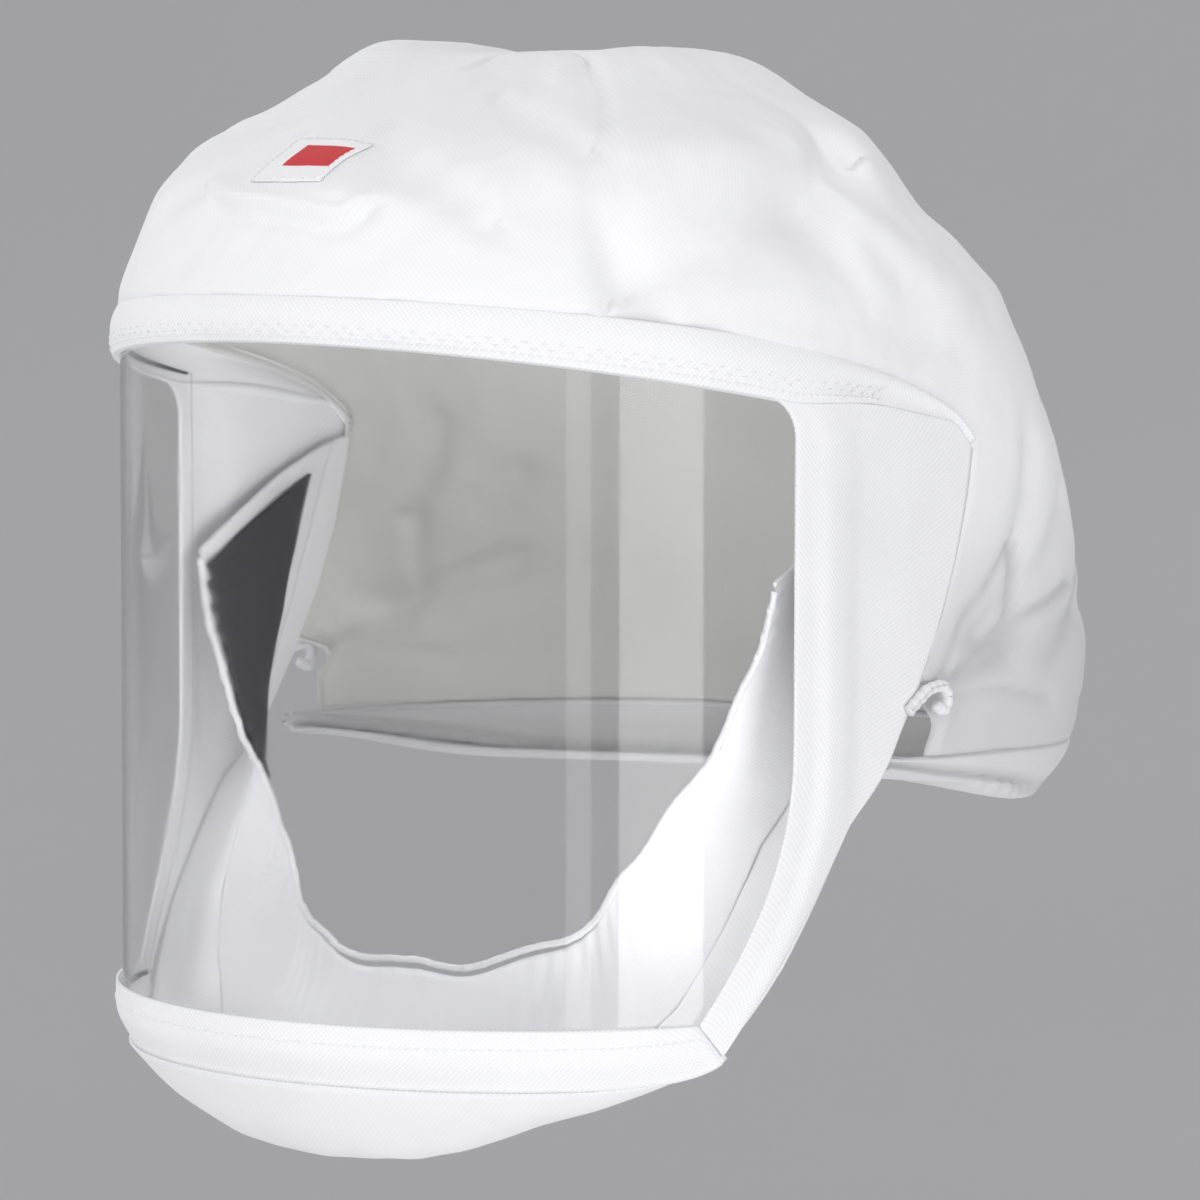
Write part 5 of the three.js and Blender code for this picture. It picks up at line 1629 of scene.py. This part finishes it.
@dataclass
class ForeheadPatch:
    """The sewn patch on the forehead, with a plain coloured bar.

    Args:
        cut: the cover's sizes.
        width: its width in millimetres.
        length: its length up the forehead.
        level: where its middle lies.
        rise: how much of its length is height.
        lift: how far its face stands over the cloth.
        wall: its thickness.
    """

    cut: Cut
    width: float = 25.0
    length: float = 21.0
    level: float = 0.53
    rise: float = 0.52
    lift: float = 0.75
    wall: float = 0.5

    def grid(self) -> np.ndarray:
        """The patch's outer face, as rows of points from its lower edge up."""
        cut = self.cut
        half = self.length * self.rise / cut.dome_height / 2
        levels = np.linspace(self.level - half, self.level + half, 24)[:, None]
        x = np.linspace(-self.width / 2, self.width / 2, 26)[None, :]
        table = dict(zip(SECTION_COLUMNS, np.array(SECTIONS, float).T))
        wide = np.interp(levels, table["level"], table["width"]) * cut.visor_radius
        power = np.interp(levels, table["level"], table["bow"])
        turn = np.sign(x) * np.arcsin((np.abs(x) / wide) ** (power / 2)) / (math.pi / 2) * cut.front_share
        flat = cut.cloth_point(turn, levels + 0 * x)
        grid = Crown(cut).shaped(ClothGrid(flat, turn, levels + 0 * x, grid_lengths(flat)))
        return grid + grid_normals(grid) * self.lift

    def outline(self) -> tuple[np.ndarray, np.ndarray]:
        """The sewn line just inside its edges, and its directions outwards."""
        grid = self.grid()
        out = grid_normals(grid)
        rows, columns = grid.shape[0] - 2, grid.shape[1] - 2
        places = [(1, k) for k in range(1, columns)] + [(k, columns) for k in range(1, rows)]
        places += [(rows, k) for k in range(columns, 1, -1)] + [(k, 1) for k in range(rows, 0, -1)]
        picked = tuple(np.array(places).T)
        return grid[picked] + out[picked] * 0.05, out[picked]

    def build(self, finishes: Finishes) -> bpy.types.Object:
        """Makes the patch, lying on the cloth."""
        piece = Piece("forehead_patch", Slot.LABEL, ("brow_label",))
        thing = piece.walled([self.cut.to_metres(self.grid())], self.wall, finishes.patch)
        return thing


@dataclass
class Stitching:
    """Rows of small raised stitches, grown along paths by Geometry Nodes.

    Args:
        cut: the cover's sizes.
        length: half a stitch's length in metres.
        width: half its width.
        seed: which of the uneven rows is grown.
    """

    cut: Cut
    length: float = 0.0009
    width: float = 0.00032
    seed: int = SEED

    @staticmethod
    def grow_nodes() -> bpy.types.NodeTree:
        """Builds the nodes that set one stitch at each step of a path."""
        tree = bpy.data.node_groups.new("sewn_stitches", "GeometryNodeTree")
        kinds = {
            "Path": "NodeSocketGeometry", "Pitch": "NodeSocketFloat", "Half Length": "NodeSocketFloat",
            "Half Width": "NodeSocketFloat", "Zigzag": "NodeSocketFloat", "Seed": "NodeSocketInt",
            "Thread": "NodeSocketMaterial",
        }
        for name, kind in kinds.items():
            tree.interface.new_socket(name, in_out="INPUT", socket_type=kind)
        tree.interface.new_socket("Stitches", in_out="OUTPUT", socket_type="NodeSocketGeometry")
        graph = Graph(tree)
        given = {name: socket for name, socket in zip(kinds, tree.nodes.new("NodeGroupInput").outputs)}
        end = tree.nodes.new("NodeGroupOutput")
        line = graph.add("GeometryNodeMeshToCurve", {"Mesh": given["Path"]})
        steps = graph.add("GeometryNodeResampleCurve", {
            "Curve": line.outputs["Curve"], "Length": given["Pitch"]}, mode="LENGTH")
        face = graph.add("GeometryNodeInputNamedAttribute", {"Name": "face_out"}, data_type="FLOAT_VECTOR")
        out = face.outputs["Attribute"]
        along = graph.add("GeometryNodeInputTangent").outputs["Tangent"]
        across = graph.add("ShaderNodeVectorMath", {0: along, 1: out}, operation="CROSS_PRODUCT").outputs[0]
        index = graph.add("GeometryNodeInputIndex").outputs["Index"]
        swing = graph.math("SUBTRACT", graph.math("MODULO", index, 2.0), 0.5)
        sway = graph.math("MULTIPLY", swing, given["Zigzag"])
        shift = graph.add("ShaderNodeVectorMath", {0: across, "Scale": sway}, operation="SCALE").outputs[0]
        moved = graph.add("GeometryNodeSetPosition", {"Geometry": steps.outputs["Curve"], "Offset": shift})
        first = graph.add("FunctionNodeAlignRotationToVector", {"Vector": along}, axis="X")
        turned = graph.add("FunctionNodeAlignRotationToVector", {
            "Rotation": first.outputs["Rotation"], "Vector": out}, axis="Z", pivot_axis="X")
        uneven = graph.add("FunctionNodeRandomValue", {"Min": 0.85, "Max": 1.15, "Seed": given["Seed"]},
                           data_type="FLOAT").outputs["Value"]
        size = graph.add("ShaderNodeCombineXYZ", {
            0: graph.math("MULTIPLY", given["Half Length"], uneven), 1: given["Half Width"],
            2: given["Half Width"],
        })
        bead = graph.add("GeometryNodeMeshUVSphere", {"Segments": 8, "Rings": 5, "Radius": 1.0})
        sewn = graph.add("GeometryNodeInstanceOnPoints", {
            "Points": moved.outputs["Geometry"], "Instance": bead.outputs["Mesh"],
            "Rotation": turned.outputs["Rotation"], "Scale": size.outputs["Vector"],
        })
        real = graph.add("GeometryNodeRealizeInstances", {"Geometry": sewn.outputs["Instances"]})
        coloured = graph.add("GeometryNodeSetMaterial", {
            "Geometry": real.outputs["Geometry"], "Material": given["Thread"]})
        tree.links.new(coloured.outputs["Geometry"], end.inputs["Stitches"])
        return tree

    def row(self, name: str, points: np.ndarray, outwards: np.ndarray, tree: bpy.types.NodeTree, pitch: float,
            zigzag: float, finishes: Finishes) -> bpy.types.Object:
        """Sews one row.

        Args:
            name: the piece's name.
            points: the row's path in millimetres.
            outwards: the cloth's direction outwards at each point.
            tree: the nodes that grow the stitches.
            pitch: distance from stitch to stitch in metres.
            zigzag: how far the stitches swing from side to side in metres.
            finishes: the cover's materials.
        Returns:
            The row of stitches.
        """
        mesh = bpy.data.meshes.new(name)
        steps = [(i, i + 1) for i in range(len(points) - 1)]
        mesh.from_pydata(self.cut.to_metres(points).tolist(), steps, [])
        mesh.attributes.new("face_out", "FLOAT_VECTOR", "POINT").data.foreach_set("vector", outwards.reshape(-1))
        thing = bpy.data.objects.new(name, mesh)
        bpy.context.scene.collection.objects.link(thing)
        grown = thing.modifiers.new("stitches", "NODES")
        grown.node_group = tree
        wanted = {
            "Pitch": pitch, "Half Length": self.length, "Half Width": self.width, "Zigzag": zigzag,
            "Seed": self.seed, "Thread": finishes.thread,
        }
        for socket in tree.interface.items_tree:
            if socket.in_out == "INPUT" and socket.name in wanted:
                grown[socket.identifier] = wanted[socket.name]
        piece = Piece(name, Slot.FACING)
        piece.apply_all(thing)
        return piece.dress(thing, finishes.thread)

    def build(self, facing: Facing, patch: ForeheadPatch, finishes: Finishes) -> None:
        """Sews the brow's, the chin's and the patch's rows."""
        tree = self.grow_nodes()
        for name, points, outwards, zigzag in facing.seams():
            self.row(name, points, outwards, tree, 0.0024, zigzag, finishes)
        self.row("patch_stitches", *patch.outline(), tree, 0.0021, 0.0, finishes)


# The lamps: name, turn from straight in front, height over the aim, distance, size, power, and whether
# they show in and through the visor.
LAMPS = (
    ("key_high", 4, 1.5, 1.15, (1.6, 1.2), 9.4, True),
    ("low_front", 25, -0.72, 1.2, (1.5, 0.9), 9, True),
    ("fill_left", -55, 0.6, 1.8, (0.9, 0.9), 8, True),
    ("side_back", 122, 1.1, 1.6, (1.2, 1.0), 1.5, True),
    ("stripe_right", 77, -0.12, 1.7, (0.72, 0.56), 8, True),
    ("stripe_faint", 54, -0.12, 1.7, (0.2, 0.5), 0.9, True),
    ("top_soft", 10, 2.0, 0.4, (1.8, 1.8), 2, True),
    ("back_soft", 215, 0.6, 2.0, (1.4, 1.4), 4, False),
)


@dataclass
class Studio:
    """The plain pale stage, the soft lamps and the camera.

    Args:
        floor_height: height of the floor in metres.
        azimuth: the camera's turn from straight in front, in degrees.
        elevation: its height angle in degrees.
        distance: its distance from the point it looks at.
        aim: that point.
    """

    floor_height: float = -1.05
    azimuth: float = 40.0
    elevation: float = 4.0
    distance: float = 1.65
    aim: tuple[float, float, float] = (0.0, -0.015, -0.1489)

    def stage(self) -> bpy.types.Object:
        """Makes the round pale stage with a wall that curves up from its floor."""
        profile = [(0.0, 0.0), (1.5, 0.0), (3.6, 0.0), (4.6, 0.25), (5.1, 0.9), (5.2, 1.6)]
        places = np.linspace(0, len(profile) - 1, 40)
        index = np.arange(len(profile))
        radius, height = (smooth_read(index, np.array(profile)[:, k], places) for k in range(2))
        angle = np.linspace(0, 2 * math.pi, 96, endpoint=False)
        grid = np.stack(np.broadcast_arrays(
            radius[:, None] * np.cos(angle), radius[:, None] * np.sin(angle),
            height[:, None] + self.floor_height,
        ), axis=-1)
        thing = Piece("stage", Slot.CLOTH).from_grids([grid], closed_rows=True)
        material = bpy.data.materials.new("pale_stage")
        material.use_nodes = True
        graph = Graph(material.node_tree)
        shader = material.node_tree.nodes["Principled BSDF"]
        where = graph.add("ShaderNodeTexCoord").outputs["Object"]
        cloud = graph.add("ShaderNodeTexNoise", {"Vector": where, "Scale": 1.2, "Detail": 3.0})
        tone = graph.blend(cloud.outputs["Fac"], linear(214, 214, 215), linear(220, 220, 220))
        material.node_tree.links.new(tone, shader.inputs["Base Color"])
        shader.inputs["Roughness"].default_value = 0.9
        thing.data.materials.append(material)
        return thing

    def lamp(self, name: str, turn: float, height: float, away: float, size: tuple[float, float], power: float,
             seen: bool) -> None:
        """Adds a soft rectangular lamp that faces the cover.

        Args:
            name: the lamp's name.
            turn: its turn from straight in front, in degrees.
            height: its height above the camera's aim in metres.
            away: its distance.
            size: its width and height.
            power: its power in watts.
            seen: whether it shows in and through the visor.
        """
        data = bpy.data.lights.new(name, "AREA")
        data.shape, data.size, data.size_y, data.energy = "RECTANGLE", size[0], size[1], power
        lamp = bpy.data.objects.new(name, data)
        angle = math.radians(turn)
        aim = Vector(self.aim)
        lamp.location = aim + Vector((away * math.sin(angle), -away * math.cos(angle), height))
        lamp.rotation_euler = (aim - lamp.location).to_track_quat("-Z", "Y").to_euler()
        lamp.visible_camera = False
        lamp.visible_glossy = lamp.visible_transmission = seen
        bpy.context.scene.collection.objects.link(lamp)

    def camera(self) -> None:
        """Adds the camera at the photograph's viewing angle."""
        data = bpy.data.cameras.new("camera")
        data.lens, data.sensor_width, data.clip_end = 180.0, 36.0, 50.0
        data.shift_x = (600 - 526) / 1200
        camera = bpy.data.objects.new("camera", data)
        turn, tilt = math.radians(self.azimuth), math.radians(self.elevation)
        back = Vector((math.sin(turn) * math.cos(tilt), -math.cos(turn) * math.cos(tilt), math.sin(tilt)))
        camera.location = Vector(self.aim) + back * self.distance
        camera.rotation_euler = (-back).to_track_quat("-Z", "Y").to_euler()
        bpy.context.scene.collection.objects.link(camera)
        bpy.context.scene.camera = camera

    def build(self) -> None:
        """Makes the stage, lamps, air light and camera."""
        self.stage()
        for lamp in LAMPS:
            self.lamp(*lamp)
        world = bpy.data.worlds.new("air")
        world.use_nodes = True
        world.node_tree.nodes["Background"].inputs["Color"].default_value = linear(226, 226, 228)
        world.node_tree.nodes["Background"].inputs["Strength"].default_value = 0.68
        bpy.context.scene.world = world
        bpy.context.scene.view_settings.view_transform = "Standard"
        self.camera()


def main() -> None:
    """Builds the stage, then the cover piece by piece from one set of sizes."""
    logging.basicConfig(level=logging.INFO, format="%(name)s %(message)s")
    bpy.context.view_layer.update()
    cut = Cut()
    finishes = Finishes()
    Studio().build()
    facing = Facing(cut)
    facing.build(finishes)
    patch = ForeheadPatch(cut)
    Stitching(cut).build(facing, patch, finishes)
    Crown(cut).build(finishes)
    NapeHem(cut).build(finishes)
    Collar(cut).build(finishes)
    patch.build(finishes)


if __name__ == "__main__":
    main()
